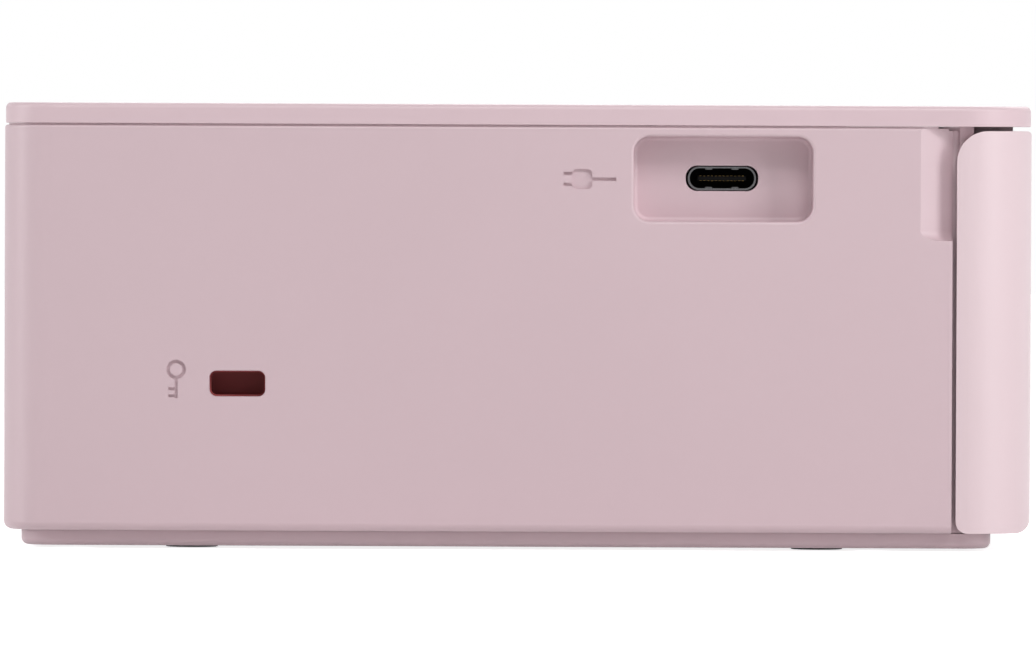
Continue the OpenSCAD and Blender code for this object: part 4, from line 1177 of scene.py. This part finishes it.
@dataclass
class Lid(Part):
    """The flat lid with the screen window in it."""

    x: Span = span("top_cover", 0)
    y: Span = span("top_cover", 1)
    top: float = span("top_cover", 2)[1]
    thick: float = LID_THICK
    front_r: float = 9.8
    rear_r: float = 6.4
    edge_r: float = 0.7
    window_x: Span = span("lcd_window", 0)
    window_y: Span = span("lcd_window", 1)
    window_thick: float = 1.5
    window_r: float = 3.0
    window_play: float = 0.2
    ledge: float = 4.0
    rim_x: float = 88.6
    rim_y: Span = (-46.0, 64.0)
    rim_wall: float = 1.3
    root: float = 0.5
    ribs: tuple[tuple[Span, Span, float], ...] = (
        ((-82.0, span("top_cover", 0)[1] - 40.0), (-64.05, -62.55), 2.0),
        ((-88.4, -87.2), (-58.8, -57.0), 3.6),
        ((-84.5, -83.3), (-63.2, -57.0), 1.2))
    boss_at: tuple[Span, ...] = ((35.0, -39.5), (84.5, -39.5), (35.0, 51.0), (84.5, 51.0))
    boss_deep: float = 3.65

    def _at_front(self, at: Vector, way: Vector) -> bool:
        """True for the two upright front edges."""
        return upright(at, way) and at.y < self.y[0] + 1

    def _at_rear(self, at: Vector, way: Vector) -> bool:
        """True for the two upright rear edges."""
        return upright(at, way) and at.y > self.y[1] - 1

    def cover(self, keys: "Keys") -> Piece:
        """Models the lid.

        Args:
            keys: The keys whose holes it has.

        Returns:
            The lid.
        """
        under = self.top - self.thick
        lid = Bench.block("top_cover_skin", self.x, self.y, (under, self.top))
        Bench.bevel(lid, self._at_front, self.front_r, 18)
        Bench.bevel(lid, self._at_rear, self.rear_r, 14)
        Bench.bevel(lid, lambda at, way: at.z > self.top - 0.01, self.edge_r, 5)
        Bench.bevel(lid, lambda at, way: at.z < under + 0.01, 0.12, 2)
        rim = Bench.block("rim", (-self.rim_x, self.rim_x), self.rim_y, (under - 2.2, under + self.root))
        Bench.bevel(rim, self._at_rear_rim, 4.0, 8)
        inner = self.rim_x - self.rim_wall
        room = Bench.block("room", (-inner, inner), (-50, self.rim_y[1] - self.rim_wall),
            (under - 3, under + 0.1))
        Bench.cut(rim, room, Bench.block("clear", (-91, -79), (-50, -12), (under - 3, under + 0.1)))
        ribs = [Bench.block("rib", x, y, (under - deep, under + self.root)) for x, y, deep in self.ribs]
        bosses = [Bench.rod("boss", Axis.Z, 2.0, (under - self.boss_deep, under + self.root), at, 32)
            for at in self.boss_at]
        Bench.add(lid, rim, *ribs, *bosses)
        Bench.cut(lid, *self._window_cuts(), *keys.holes(self.top, self.thick))
        Bench.bevel(lid, lambda at, way: at.z > self.top - 0.01 and keys.on_rim(at), 0.2, 2)
        return self.dress(lid, "frame", LID, "top_cover")

    def _at_rear_rim(self, at: Vector, way: Vector) -> bool:
        """True for the rear corners of the locating rim."""
        return upright(at, way) and at.y > self.rim_y[1] - 1

    def _pane(self, name: str, z: Span, more: float, corner: float, segments: int) -> Piece:
        """A plate in the window's place.

        Args:
            name: Name of the piece.
            z: Its two faces.
            more: How much wider and deeper than the window it is.
            corner: Radius of its corners.
            segments: Faces across a corner.

        Returns:
            The plate.
        """
        middle = (sum(self.window_x) / 2, sum(self.window_y) / 2)
        size = (self.window_x[1] - self.window_x[0] + more, self.window_y[1] - self.window_y[0] + more)
        return Bench.tile(name, Axis.Z, z, middle, size, corner, segments)

    def _window_cuts(self) -> list[Piece]:
        """The seat of the window and the opening over the display.

        Returns:
            The solids to take away.
        """
        low, play = self.top - self.window_thick, self.window_play
        return [self._pane("seat", (low, self.top + 1), play, self.window_r, 8),
            self._pane("hole", (self.top - self.thick - 1, self.top), play - 2 * self.ledge, 1.0, 4)]

    def window(self) -> Piece:
        """Models the flush glossy window over the display.

        Returns:
            The window.
        """
        glass = self._pane("lcd_window_skin", (self.top - self.window_thick, self.top), 0.0,
            self.window_r, 8)
        Bench.bevel(glass, lambda at, way: at.z > self.top - 0.01, 0.15, 2)
        return self.dress(glass, "frame", SCREEN, "lcd_window")


class Sign(Enum):
    """The plain pictograms on the round keys. An arrow's value is the angle that it is turned by."""

    POWER = "power"
    MENU = "menu"
    BACK = "back"
    OK = "ok"
    UP = 0.0
    LEFT = 90.0
    DOWN = 180.0
    RIGHT = 270.0


@dataclass
class Keys(Part):
    """The nine keys to the right of the screen."""

    middle: Span = (60.0, 0.0)
    reach: float = 13.0
    power_off: Span = (16.0, 46.0)
    menu_off: Span = (18.0, 28.0)
    print_off: float = 34.0
    small: float = 8.5
    large: float = 11.0
    gap: float = 0.25
    flange: Span = (53.9, 54.9)
    stem_foot: float = 52.9
    top: float = 57.45
    dish: float = 0.22
    crown_r: float = 0.35
    stem_r: float = 1.5
    print_size: Span = (22.0, 11.0)

    def places(self) -> dict[str, tuple[Span, float, Sign]]:
        """Gives each round key's place, diameter and pictogram.

        Returns:
            The keys by the name of their CAD node.
        """
        x, y = self.middle
        return {
            "power_key": ((x + self.power_off[0], y + self.power_off[1]), self.small, Sign.POWER),
            "menu_key": ((x - self.menu_off[0], y + self.menu_off[1]), self.small, Sign.MENU),
            "back_key": ((x + self.menu_off[0], y + self.menu_off[1]), self.small, Sign.BACK),
            "ok_key": ((x, y), self.large, Sign.OK),
            "up_key": ((x, y + self.reach), self.small, Sign.UP),
            "down_key": ((x, y - self.reach), self.small, Sign.DOWN),
            "left_key": ((x - self.reach, y), self.small, Sign.LEFT),
            "right_key": ((x + self.reach, y), self.small, Sign.RIGHT),
        }

    @property
    def print_at(self) -> Span:
        """Middle of the oblong print key."""
        return (self.middle[0], self.middle[1] - self.print_off)

    def holes(self, lid_top: float, thick: float) -> list[Piece]:
        """The lid's holes for the keys.

        Args:
            lid_top: Height of the lid's upper face.
            thick: Thickness of the lid.

        Returns:
            The solids to take away.
        """
        z = (lid_top - thick - 1, lid_top + 0.3)
        solids = [Bench.rod("hole", Axis.Z, width / 2 + self.gap, z, at, 64)
            for at, width, _ in self.places().values()]
        solids.append(Bench.tile("hole", Axis.Z, z, self.print_at,
            (self.print_size[0] + 2 * self.gap, self.print_size[1] + 2 * self.gap), 3.25, 8))
        return solids

    def on_rim(self, at: Vector) -> bool:
        """Tells whether a point lies on the rim of one of the holes.

        Args:
            at: The point, in millimetres.

        Returns:
            True on a rim.
        """
        for (x, y), width, _ in self.places().values():
            if abs(math.hypot(at.x - x, at.y - y) - width / 2 - self.gap) < 0.1:
                return True
        reach = [s / 2 + self.gap + 0.05 for s in self.print_size]
        return abs(at.x - self.print_at[0]) < reach[0] and abs(at.y - self.print_at[1]) < reach[1]

    def round_key(self, node: str) -> Piece:
        """Models one round key: flange, dished cap, stem and raised pictogram.

        Args:
            node: Name of its CAD node.

        Returns:
            The key.
        """
        at, width, sign = self.places()[node]
        cap = Bench.rod(f"{node}_skin", Axis.Z, width / 2, (self.flange[0], self.top), at, 64)
        Bench.bevel(cap, lambda at_, way: at_.z > self.top - 0.01 and abs(way.z) < 0.1,
            self.crown_r, 4)
        curve = ((width / 2 - 0.5) ** 2 / self.dish + self.dish) / 2
        bpy.ops.object.select_all(action="DESELECT")
        bpy.ops.mesh.primitive_uv_sphere_add(segments=96, ring_count=96, radius=curve * MM,
            location=(at[0] * MM, at[1] * MM, (self.top - self.dish + curve) * MM))
        Bench.cut(cap, Bench.named("dish"))
        Bench.add(cap, Bench.rod("flange", Axis.Z, width / 2 + 1, self.flange, at, 48),
            self._stem(at))
        self.dress(cap, node, KEYS, node)
        marks = Bench.join(self._sign(sign, at), f"{node}_sign")
        return self.dress(marks, node, GLYPH)

    def _stem(self, at: Span) -> Piece:
        """The stem under a key, which presses its switch."""
        return Bench.rod("stem", Axis.Z, self.stem_r, (self.stem_foot, self.flange[0] + 0.5), at, 24)

    def _sign(self, sign: Sign, at: Span) -> list[Piece]:
        """Models a key's pictogram.

        Args:
            sign: Which pictogram.
            at: Middle of the key.

        Returns:
            Its solids.
        """
        x, y = at
        z = (self.top - self.dish - 0.25, self.top - self.dish + 0.06)
        if sign is Sign.POWER:
            ring = self._ring(at, (1.5, 1.1), z)
            Bench.cut(ring, Bench.block("break", (x - 0.45, x + 0.45), (y + 0.5, y + 2),
                (z[0] - 1, z[1] + 1)))
            return [ring, Bench.block("bar", (x - 0.2, x + 0.2), (y + 0.3, y + 1.7), z)]
        if sign is Sign.MENU:
            return [Bench.block("bar", (x - 1.4, x + 1.4), (y + s - 0.2, y + s + 0.2), z)
                for s in (-0.9, 0.0, 0.9)]
        if sign is Sign.BACK:
            return [Bench.block("shaft", (x - 0.5, x + 1.6), (y - 0.2, y + 0.2), z),
                self._wedge((x - 0.8, y), 0.9, 90.0, z)]
        if sign is Sign.OK:
            return [self._ring(at, (1.9, 1.45), z)]
        return [self._wedge(at, 1.35, sign.value, z)]

    def _ring(self, at: Span, radii: Span, z: Span) -> Piece:
        """A flat ring round a middle, given its outer and inner radius and its two faces."""
        ring = Bench.rod("ring", Axis.Z, radii[0], z, at, 48)
        return Bench.cut(ring, Bench.rod("hole", Axis.Z, radii[1], (z[0] - 1, z[1] + 1), at, 48))

    def _wedge(self, at: Span, radius: float, turn: float, z: Span) -> Piece:
        """A flat triangle that points along +Y, or is turned from there.

        Args:
            at: Its middle.
            radius: Distance of its corners from the middle.
            turn: Angle that it is turned by, in degrees.
            z: Its two faces.

        Returns:
            The triangle.
        """
        bpy.ops.object.select_all(action="DESELECT")
        bpy.ops.mesh.primitive_cylinder_add(vertices=3, radius=radius * MM, depth=(z[1] - z[0]) * MM,
            location=(at[0] * MM, at[1] * MM, sum(z) / 2 * MM), rotation=(0, 0, math.radians(turn)))
        return Bench.named("wedge")

    def oblong_key(self) -> Piece:
        """Models the print key with a plain pictogram of a sheet.

        Returns:
            The pictogram, the key's last piece.
        """
        x, y = self.print_at
        cap = Bench.tile("print_key_skin", Axis.Z, (self.flange[0], self.top), self.print_at,
            self.print_size, 3.0, 10)
        Bench.bevel(cap, lambda at, way: at.z > self.top - 0.01, self.crown_r, 4)
        flange = Bench.tile("flange", Axis.Z, self.flange, self.print_at,
            (self.print_size[0] + 2, self.print_size[1] + 2), 4.0, 8)
        Bench.add(cap, flange, self._stem(self.print_at))
        self.dress(cap, "print_key", KEYS, "print_key")
        z = (self.top - 0.2, self.top + 0.04)
        sheet = Bench.block("sheet", (x - 2.2, x + 2.2), (y - 1.6, y + 1.6), z)
        Bench.cut(sheet, Bench.block("field", (x - 1.8, x + 1.8), (y - 1.2, y + 1.2), (z[0] - 1, z[1] + 1)))
        marks = Bench.join([sheet, self._wedge(at=(x, y - 0.1), radius=0.8, turn=0.0, z=z)], "print_key_sign")
        return self.dress(marks, "print_key", GLYPH)


# ---------------------------------------------------------------- doors


@dataclass
class FrontDoor(Part):
    """The door that folds down over the paper bay, with its curved left end."""

    x: Span = span("front_door", 0)
    y: Span = span("front_door", 1)
    z: Span = span("front_door", 2)
    back: float = -56.6
    wall: float = WALL
    corner_r: float = FRONT_R
    notch_r: float = 1.95
    lug_r: float = 1.8
    lug_x: tuple[Span, Span] = ((-80.7, -78.0), (43.0, 45.7))
    stud_x: tuple[Span, Span] = ((-83.8, -80.2), (45.2, 48.8))

    def _profile(self) -> Piece:
        """The door's outline from the side, carried along X.

        Returns:
            The bar.
        """
        front, back = self.y[0] - 0.01, self.back
        low, high = self.z
        bar = Bench.block("profile", (self.x[0] - 1, self.x[1] + 1), (front, back), self.z)
        for y, z, radius, steps in ((back, high, 4.0, 10), (back, low, 1.5, 5), (front, low, 2.0, 7),
                (front, high, 0.6, 4)):
            Bench.bevel(bar, lambda at, way, y=y, z=z: abs(way.x) > 0.9 and abs(at.y - y) < 0.01
                and abs(at.z - z) < 0.01, radius, steps)
        return bar

    def model(self) -> Piece:
        """Models the door.

        Returns:
            The door.
        """
        door = Bench.block("front_door_skin", (self.x[0], self.x[1]), (self.y[0], self.back + 12), (0, 60))
        Bench.bevel(door, lambda at, way: upright(at, way) and at.x < self.x[0] + 1 and at.y < self.y[0] + 1,
            self.corner_r, 20)
        Bench.meet(door, self._profile())
        core = Bench.block("core", (self.x[0] + self.wall, self.x[1] + 5),
            (self.y[0] + self.wall, self.back + 5), (-5, 65))
        Bench.bevel(core, lambda at, way: upright(at, way) and at.x < self.x[0] + 4 and at.y < self.y[0] + 4,
            self.corner_r - self.wall, 14)
        Bench.cut(door, core)
        Bench.soften(door, 0.28, 3, 50.0)
        Bench.add(door, *self._lugs())
        for bracket in HINGE_BRACKETS:
            wide = (bracket[0] - 0.25, bracket[1] + 0.25)
            Bench.cut(door, Bench.rod("notch", Axis.X, self.notch_r, wide, DOOR_HINGE, 40),
                Bench.block("notch", wide, (DOOR_HINGE[0] - self.notch_r, DOOR_HINGE[0] + 1),
                    (-1, DOOR_HINGE[1])))
        Bench.add(door, *[Bench.rod("stud", Axis.X, PIN_R, x, DOOR_HINGE, 32) for x in self.stud_x])
        # The door's pink is lightened with painted sheen and highlight.
        return self.dress(door, "front_door", PINK_DOOR_PAINTED_SHEEN, "front_door")

    def _lugs(self) -> list[Piece]:
        """The lugs beside the base's brackets.

        Returns:
            The lugs.
        """
        lugs = []
        for x in self.lug_x:
            lugs.append(Bench.rod("lug", Axis.X, self.lug_r, x, DOOR_HINGE, 40))
            lugs.append(Bench.block("lug", (x[0] + 0.05, x[1] - 0.05),
                (self.y[0] + self.wall - 0.5, DOOR_HINGE[0] - 0.05),
                (DOOR_HINGE[1] - 1.5, DOOR_HINGE[1] + 2.5)))
        return lugs


@dataclass
class RibbonDoor(Part):
    """The flap in the right wall over the ribbon cassette."""

    x: Span = (span("ribbon_door", 0)[1] - 2.2, span("ribbon_door", 0)[1])
    y: Span = (-17.6, 55.6)
    z: Span = (22.0, 50.0)
    hinge: Span = (89.6, 23.5)

    def model(self) -> Piece:
        """Models the flap.

        Returns:
            The flap.
        """
        flap = Bench.block("ribbon_door_skin", self.x, self.y, self.z)
        Bench.bevel(flap, lambda at, way: abs(way.y) > 0.9 and at.x > self.x[1] - 0.01
            and at.z < self.z[0] + 0.01, 1.5, 7)
        Bench.bevel(flap, lambda at, way: abs(way.x) > 0.9, 0.4, 3)
        Bench.bevel(flap, lambda at, way: at.x > self.x[1] - 0.01 and at.z > self.z[0] + 1.6, 0.3, 3)
        Bench.cut(flap, Bench.rod("notch", Axis.Y, 1.3, (10, 28), (self.x[1] + 0.2, self.z[1] + 0.2), 40))
        for y in ((self.y[0] - 1.8, self.y[0] + 1), (self.y[1] - 1, self.y[1] + 1.8)):
            Bench.add(flap, Bench.rod("stud", Axis.Y, PIN_R, y, self.hinge, 32))
        return self.dress(flap, "ribbon_door", SHELL, "ribbon_door")


# ---------------------------------------------------------------- sockets


@dataclass
class Sockets(Part):
    """The data socket behind the left wall and the power socket behind the rear one."""

    face: float = -86.2
    middle: Span = DATA_SOCKET
    outer: Span = (8.94, 3.2)
    inner: Span = (8.34, 2.6)
    deep: float = 7.2
    tongue_w: float = 6.3
    tongue_t: float = 0.6
    spring_at: Span = (1.7, 1.0)
    spring_size: Span = (0.9, 0.24)
    contacts: int = 12
    contact_pitch: float = 0.5
    contact_w: float = 0.25
    jack_half: float = 5.5
    jack_y: Span = (52.5, 64.3)

    def shell(self) -> Piece:
        """Models the socket's nickel shell with its rolled mouth and its spring tongues.

        Returns:
            The shell.
        """
        x = (self.face, self.face + self.deep)
        shell = Bench.tile("usb_shell_skin", Axis.X, x, self.middle, self.outer, 1.55, 10)
        Bench.bevel(shell, lambda at, way: at.x < x[0] + 0.01, 0.12, 3)
        Bench.cut(shell, Bench.tile("room", Axis.X, (x[0] - 1, x[1] - 0.5), self.middle, self.inner,
            1.25, 10))
        springs = []
        for side in (-self.spring_at[0], self.spring_at[0]):
            for roof in (-1.0, 1.0):
                z = self.middle[1] + roof * (self.inner[1] / 2 - 0.06)
                springs.append(Bench.tile("spring", Axis.X, (x[0] + self.spring_at[1], x[0] + 4.5),
                    (self.middle[0] + side, z), self.spring_size, 0.08, 2))
        Bench.add(shell, *springs)
        # The shell's darkened nickel is painted shade for the inside of the socket's mouth.
        return self.dress(shell, "frame", NICKEL_PAINTED_SHADE, "usb_shell")

    def tongue(self) -> Piece:
        """Models the socket's tongue with its gilt contacts.

        Returns:
            The contacts, the tongue's last piece.
        """
        x = (self.face + 0.7, self.face + 6.7)
        y, z = self.middle
        tongue = Bench.block("usb_tongue_skin", x, (y - self.tongue_w / 2, y + self.tongue_w / 2),
            (z - self.tongue_t / 2, z + self.tongue_t / 2))
        Bench.bevel(tongue, lambda at, way: at.x < x[0] + 0.01, 0.15, 3)
        Bench.add(tongue, Bench.tile("bed", Axis.X, (x[1] - 1.6, x[1]), self.middle,
            (self.inner[0] - 0.02, self.inner[1] - 0.02), 1.24, 10))
        self.dress(tongue, "frame", SOOT, "usb_tongue")
        low = y - ((self.contacts - 1) * self.contact_pitch + self.contact_w) / 2
        first = Bench.block("usb_contacts", (x[0] + 0.9, x[1] - 0.4), (low, low + self.contact_w),
            (z - self.tongue_t / 2 - 0.02, z + self.tongue_t / 2 + 0.02))
        rest = [Bench.copy(first, "contact", (0, self.contact_pitch * k, 0))
            for k in range(1, self.contacts)]
        return self.dress(Bench.join([first, *rest], "usb_contacts"), "frame", BRASS)

    def power_jack(self) -> Piece:
        """Models the power socket's housing and its pin.

        Returns:
            The pin, the socket's last piece.
        """
        body = Bench.block("dc_jack_skin", (JACK[0] - self.jack_half, JACK[0] + self.jack_half),
            self.jack_y, (JACK[1] - self.jack_half, JACK[1] + self.jack_half))
        Bench.soften(body, 0.4, 3)
        Bench.cut(body, Bench.rod("bore", Axis.Y, 2.8, (self.jack_y[0] + 2, self.jack_y[1] + 1), JACK, 48))
        self.dress(body, "frame", DARK, "dc_jack")
        pin = Bench.rod("dc_jack_pin", Axis.Y, PIN_R, (self.jack_y[0] + 1.5, self.jack_y[1] - 0.5), JACK, 32)
        Bench.bevel(pin, lambda at, way: at.y > self.jack_y[1] - 0.51 and abs(way.y) < 0.1, 0.35, 4)
        return self.dress(pin, "frame", GROUND)


# ---------------------------------------------------------------- inside


@dataclass
class Inside(Part):
    """The mechanism: the CAD pieces keep their shape and get broken edges and finishes."""

    edge: float = 0.2
    gear_edge: float = 0.06
    finishes: dict[str, tuple[Finish, float]] = field(default_factory=dict)

    def __post_init__(self) -> None:
        """Lists the finish and the edge of every CAD piece that stays."""
        groups = (
            (PLATE, self.edge, ("chassis_left", "chassis_right", "chassis_tie", "head_arm", "card_reader",
                "base_screws")),
            (PLATE, 0.0, ("head_springs",)),
            (SHELL, self.edge, ("front_frame",)),
            (DARK, self.edge, ("lcd_module", "board_parts", "tact_switches")),
            # The lock plate takes a dark red of painted shade, standing in for pink plastic deep inside the
            # slot.
            (LOCK_PLATE_PAINTED_SHADE, self.edge, ("lock_plate",)),
            (DARK, 0.12, ("take_up_spool", "supply_spool")),
            (BOARD, 0.0, ("control_board", "usb_board", "main_board")),
            (GREY, self.edge, ("bay_guide", "paper_guides", "bay_liner")),
            (ROLLERS, self.edge, ("pickup_roller", "platen_roller", "pinch_roller")),
            (GROUND, 0.15, ("grip_roller",)),
            (GROUND, 0.4, ("feed_motor", "ribbon_motor")),
            (BRASS, 0.1, ("shaft_bushes",)),
            (BRASS, self.gear_edge, ("feed_pinion", "ribbon_pinion")),
            (WHITE, self.gear_edge, ("reduction_gear", "pickup_idler", "ribbon_idler", "take_up_gear")),
            (WHITE, self.edge, ("lift_arm", "head_cam", "ribbon_frame", "eject_lever")),
            (CERAMIC, 0.15, ("thermal_head",)),
            (FINS, 0.1, ("heat_sink",)),
            (FILM, 0.0, ("ribbon_film",)),
        )
        for finish, edge, nodes in groups:
            for node in nodes:
                self.finishes[node] = (finish, edge)

    def finish(self) -> None:
        """Dresses every CAD piece that stays, and breaks its edges."""
        for node, (finish, edge) in self.finishes.items():
            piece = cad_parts[node]
            piece.data.materials.clear()
            piece.data.materials.append(Paint.of(finish))
            if edge > 0:
                self._break_edges(piece, edge)
            log.info("%s: %s", node, finish.name)

    def _break_edges(self, piece: Piece, edge: float) -> None:
        """Rounds a CAD piece's sharp edges with modifiers.

        Args:
            piece: The piece.
            edge: Radius in millimetres.
        """
        weld = piece.modifiers.new("weld", "WELD")
        weld.merge_threshold = 0.001 * MM
        bevel = piece.modifiers.new("edges", "BEVEL")
        bevel.width = edge * MM
        bevel.segments = 2
        bevel.limit_method = "ANGLE"
        bevel.angle_limit = math.radians(40)
        bevel.harden_normals = False


# ---------------------------------------------------------------- studio


@dataclass
class Studio:
    """White floor, white surroundings, soft lamps and the camera."""

    near_x: float = -91.1
    sight_z: float = 29.06
    eye_z: float = 55.0
    distance: float = 2000.0
    lens: float = 538.5
    sensor: float = 36.0
    roll: float = 0.25
    world_fill: float = 0.215
    floor_half: float = 3000.0
    floor_glow: float = 0.8

    def floor(self) -> Piece:
        """Lays the pale floor, which looks white to the camera but keeps a faint shadow.

        Returns:
            The floor.
        """
        bpy.ops.object.select_all(action="DESELECT")
        bpy.ops.mesh.primitive_plane_add(size=2 * self.floor_half * MM, location=(0, 0, 0))
        floor = Bench.named("studio_floor")
        floor.data.materials.append(self._floor_material())
        return floor

    def _floor_material(self) -> Material:
        """Builds the floor's material: a matt white that adds white where the camera sees it.

        Returns:
            The material.
        """
        shader = Shader("studio_floor_white")
        shader.set(Roughness=0.9)
        base = shader.nodes.get("Principled BSDF")
        base.inputs["Base Color"].default_value = (0.85, 0.85, 0.85, 1.0)
        base.inputs["Emission Color"].default_value = (1.0, 1.0, 1.0, 1.0)
        part = shader.nodes.new("ShaderNodeMath")
        part.operation = "MULTIPLY"
        part.inputs[1].default_value = self.floor_glow
        shader.links.new(self._seen(shader.nodes, shader.links), part.inputs[0])
        shader.links.new(part.outputs[0], base.inputs["Emission Strength"])
        return shader.material

    def _seen(self, nodes: bpy.types.Nodes, links: bpy.types.NodeLinks) -> Socket:
        """Gives 1 on rays that come from the camera, a mirror-like surface or glass.

        Args:
            nodes: The tree's nodes.
            links: The tree's links.

        Returns:
            The socket that carries it.
        """
        path = nodes.new("ShaderNodeLightPath")
        total = path.outputs["Is Camera Ray"]
        for name in ("Is Glossy Ray", "Is Transmission Ray"):
            either = nodes.new("ShaderNodeMath")
            either.operation = "MAXIMUM"
            links.new(total, either.inputs[0])
            links.new(path.outputs[name], either.inputs[1])
            total = either.outputs[0]
        return total

    def surroundings(self) -> None:
        """Makes the world white to the eye and a soft fill to the object."""
        world = bpy.data.worlds.new("studio_surroundings")
        bpy.context.scene.world = world
        world.use_nodes = True
        nodes, links = world.node_tree.nodes, world.node_tree.links
        back = nodes.get("Background")
        back.inputs["Color"].default_value = (1.0, 1.0, 1.0, 1.0)
        reach = nodes.new("ShaderNodeMapRange")
        reach.inputs["To Min"].default_value = self.world_fill
        reach.inputs["To Max"].default_value = 1.0
        links.new(self._seen(nodes, links), reach.inputs["Value"])
        links.new(reach.outputs["Result"], back.inputs["Strength"])

    def lamp(self, name: str, azimuth: float, elevation: float, size: Span, power: float,
            away: float = 900.0) -> Piece:
        """Hangs a soft rectangular lamp that faces the object.

        Args:
            name: Name of the lamp.
            azimuth: Its bearing in degrees, 0 in front of the left wall, positive towards the door.
            elevation: Its height angle in degrees.
            size: Its width and height in millimetres.
            power: Its power in watts.
            away: Its distance in millimetres.

        Returns:
            The lamp.
        """
        turn, rise = math.radians(azimuth), math.radians(elevation)
        way = Vector((-math.cos(turn) * math.cos(rise), -math.sin(turn) * math.cos(rise), math.sin(rise)))
        aim = Vector((self.near_x * MM / 2, 0, self.sight_z * MM))
        bpy.ops.object.select_all(action="DESELECT")
        bpy.ops.object.light_add(type="AREA", location=aim + way * away * MM)
        lamp = bpy.context.active_object
        lamp.name = name
        lamp.rotation_euler = (-way).to_track_quat("-Z", "Y").to_euler()
        lamp.data.shape = "RECTANGLE"
        lamp.data.size, lamp.data.size_y = (s * MM for s in size)
        lamp.data.energy = power
        log.info("lamp %s at %.0f, %.0f", name, azimuth, elevation)
        return lamp

    def camera(self) -> Piece:
        """Sets up the camera, square to the left wall and a little above its middle.

        Returns:
            The camera.
        """
        aim = Vector((self.near_x, 0.0, self.sight_z)) * MM
        place = Vector((self.near_x - self.distance, 0.0, self.eye_z)) * MM
        bpy.ops.object.select_all(action="DESELECT")
        bpy.ops.object.camera_add(location=place)
        camera = bpy.context.active_object
        camera.name = "studio_camera"
        turn = (aim - place).to_track_quat("-Z", "Y")
        camera.rotation_euler = turn.to_euler()
        camera.rotation_euler.rotate_axis("Z", math.radians(self.roll))
        camera.data.sensor_width = self.sensor
        camera.data.lens = self.lens
        camera.data.clip_start = 0.1
        camera.data.clip_end = 20.0
        bpy.context.scene.camera = camera
        return camera

    def build(self) -> None:
        """Builds the whole studio."""
        bpy.context.scene.view_settings.view_transform = "Standard"
        self.floor()
        self.surroundings()
        self.lamp("front_high_box", 15.0, 45.0, (300.0, 300.0), 2.6)
        self.lamp("door_side_box", 58.0, 20.0, (260.0, 600.0), 3.2)
        self.lamp("rear_side_box", -80.0, 20.0, (240.0, 600.0), 3.3)
        self.lamp("far_side_box", 165.0, 40.0, (600.0, 500.0), 2.8)
        self.camera()


def main() -> None:
    """Builds the printer, then the studio round it."""
    case = Case()
    keys = Keys()
    lid = Lid()
    case.shell()
    case.base()
    case.front_panel()
    case.feet()
    lid.cover(keys)
    lid.window()
    for node in keys.places():
        keys.round_key(node)
    keys.oblong_key()
    FrontDoor().model()
    RibbonDoor().model()
    sockets = Sockets()
    sockets.shell()
    sockets.tongue()
    sockets.power_jack()
    Inside().finish()
    Studio().build()


if __name__ == "__main__":
    main()
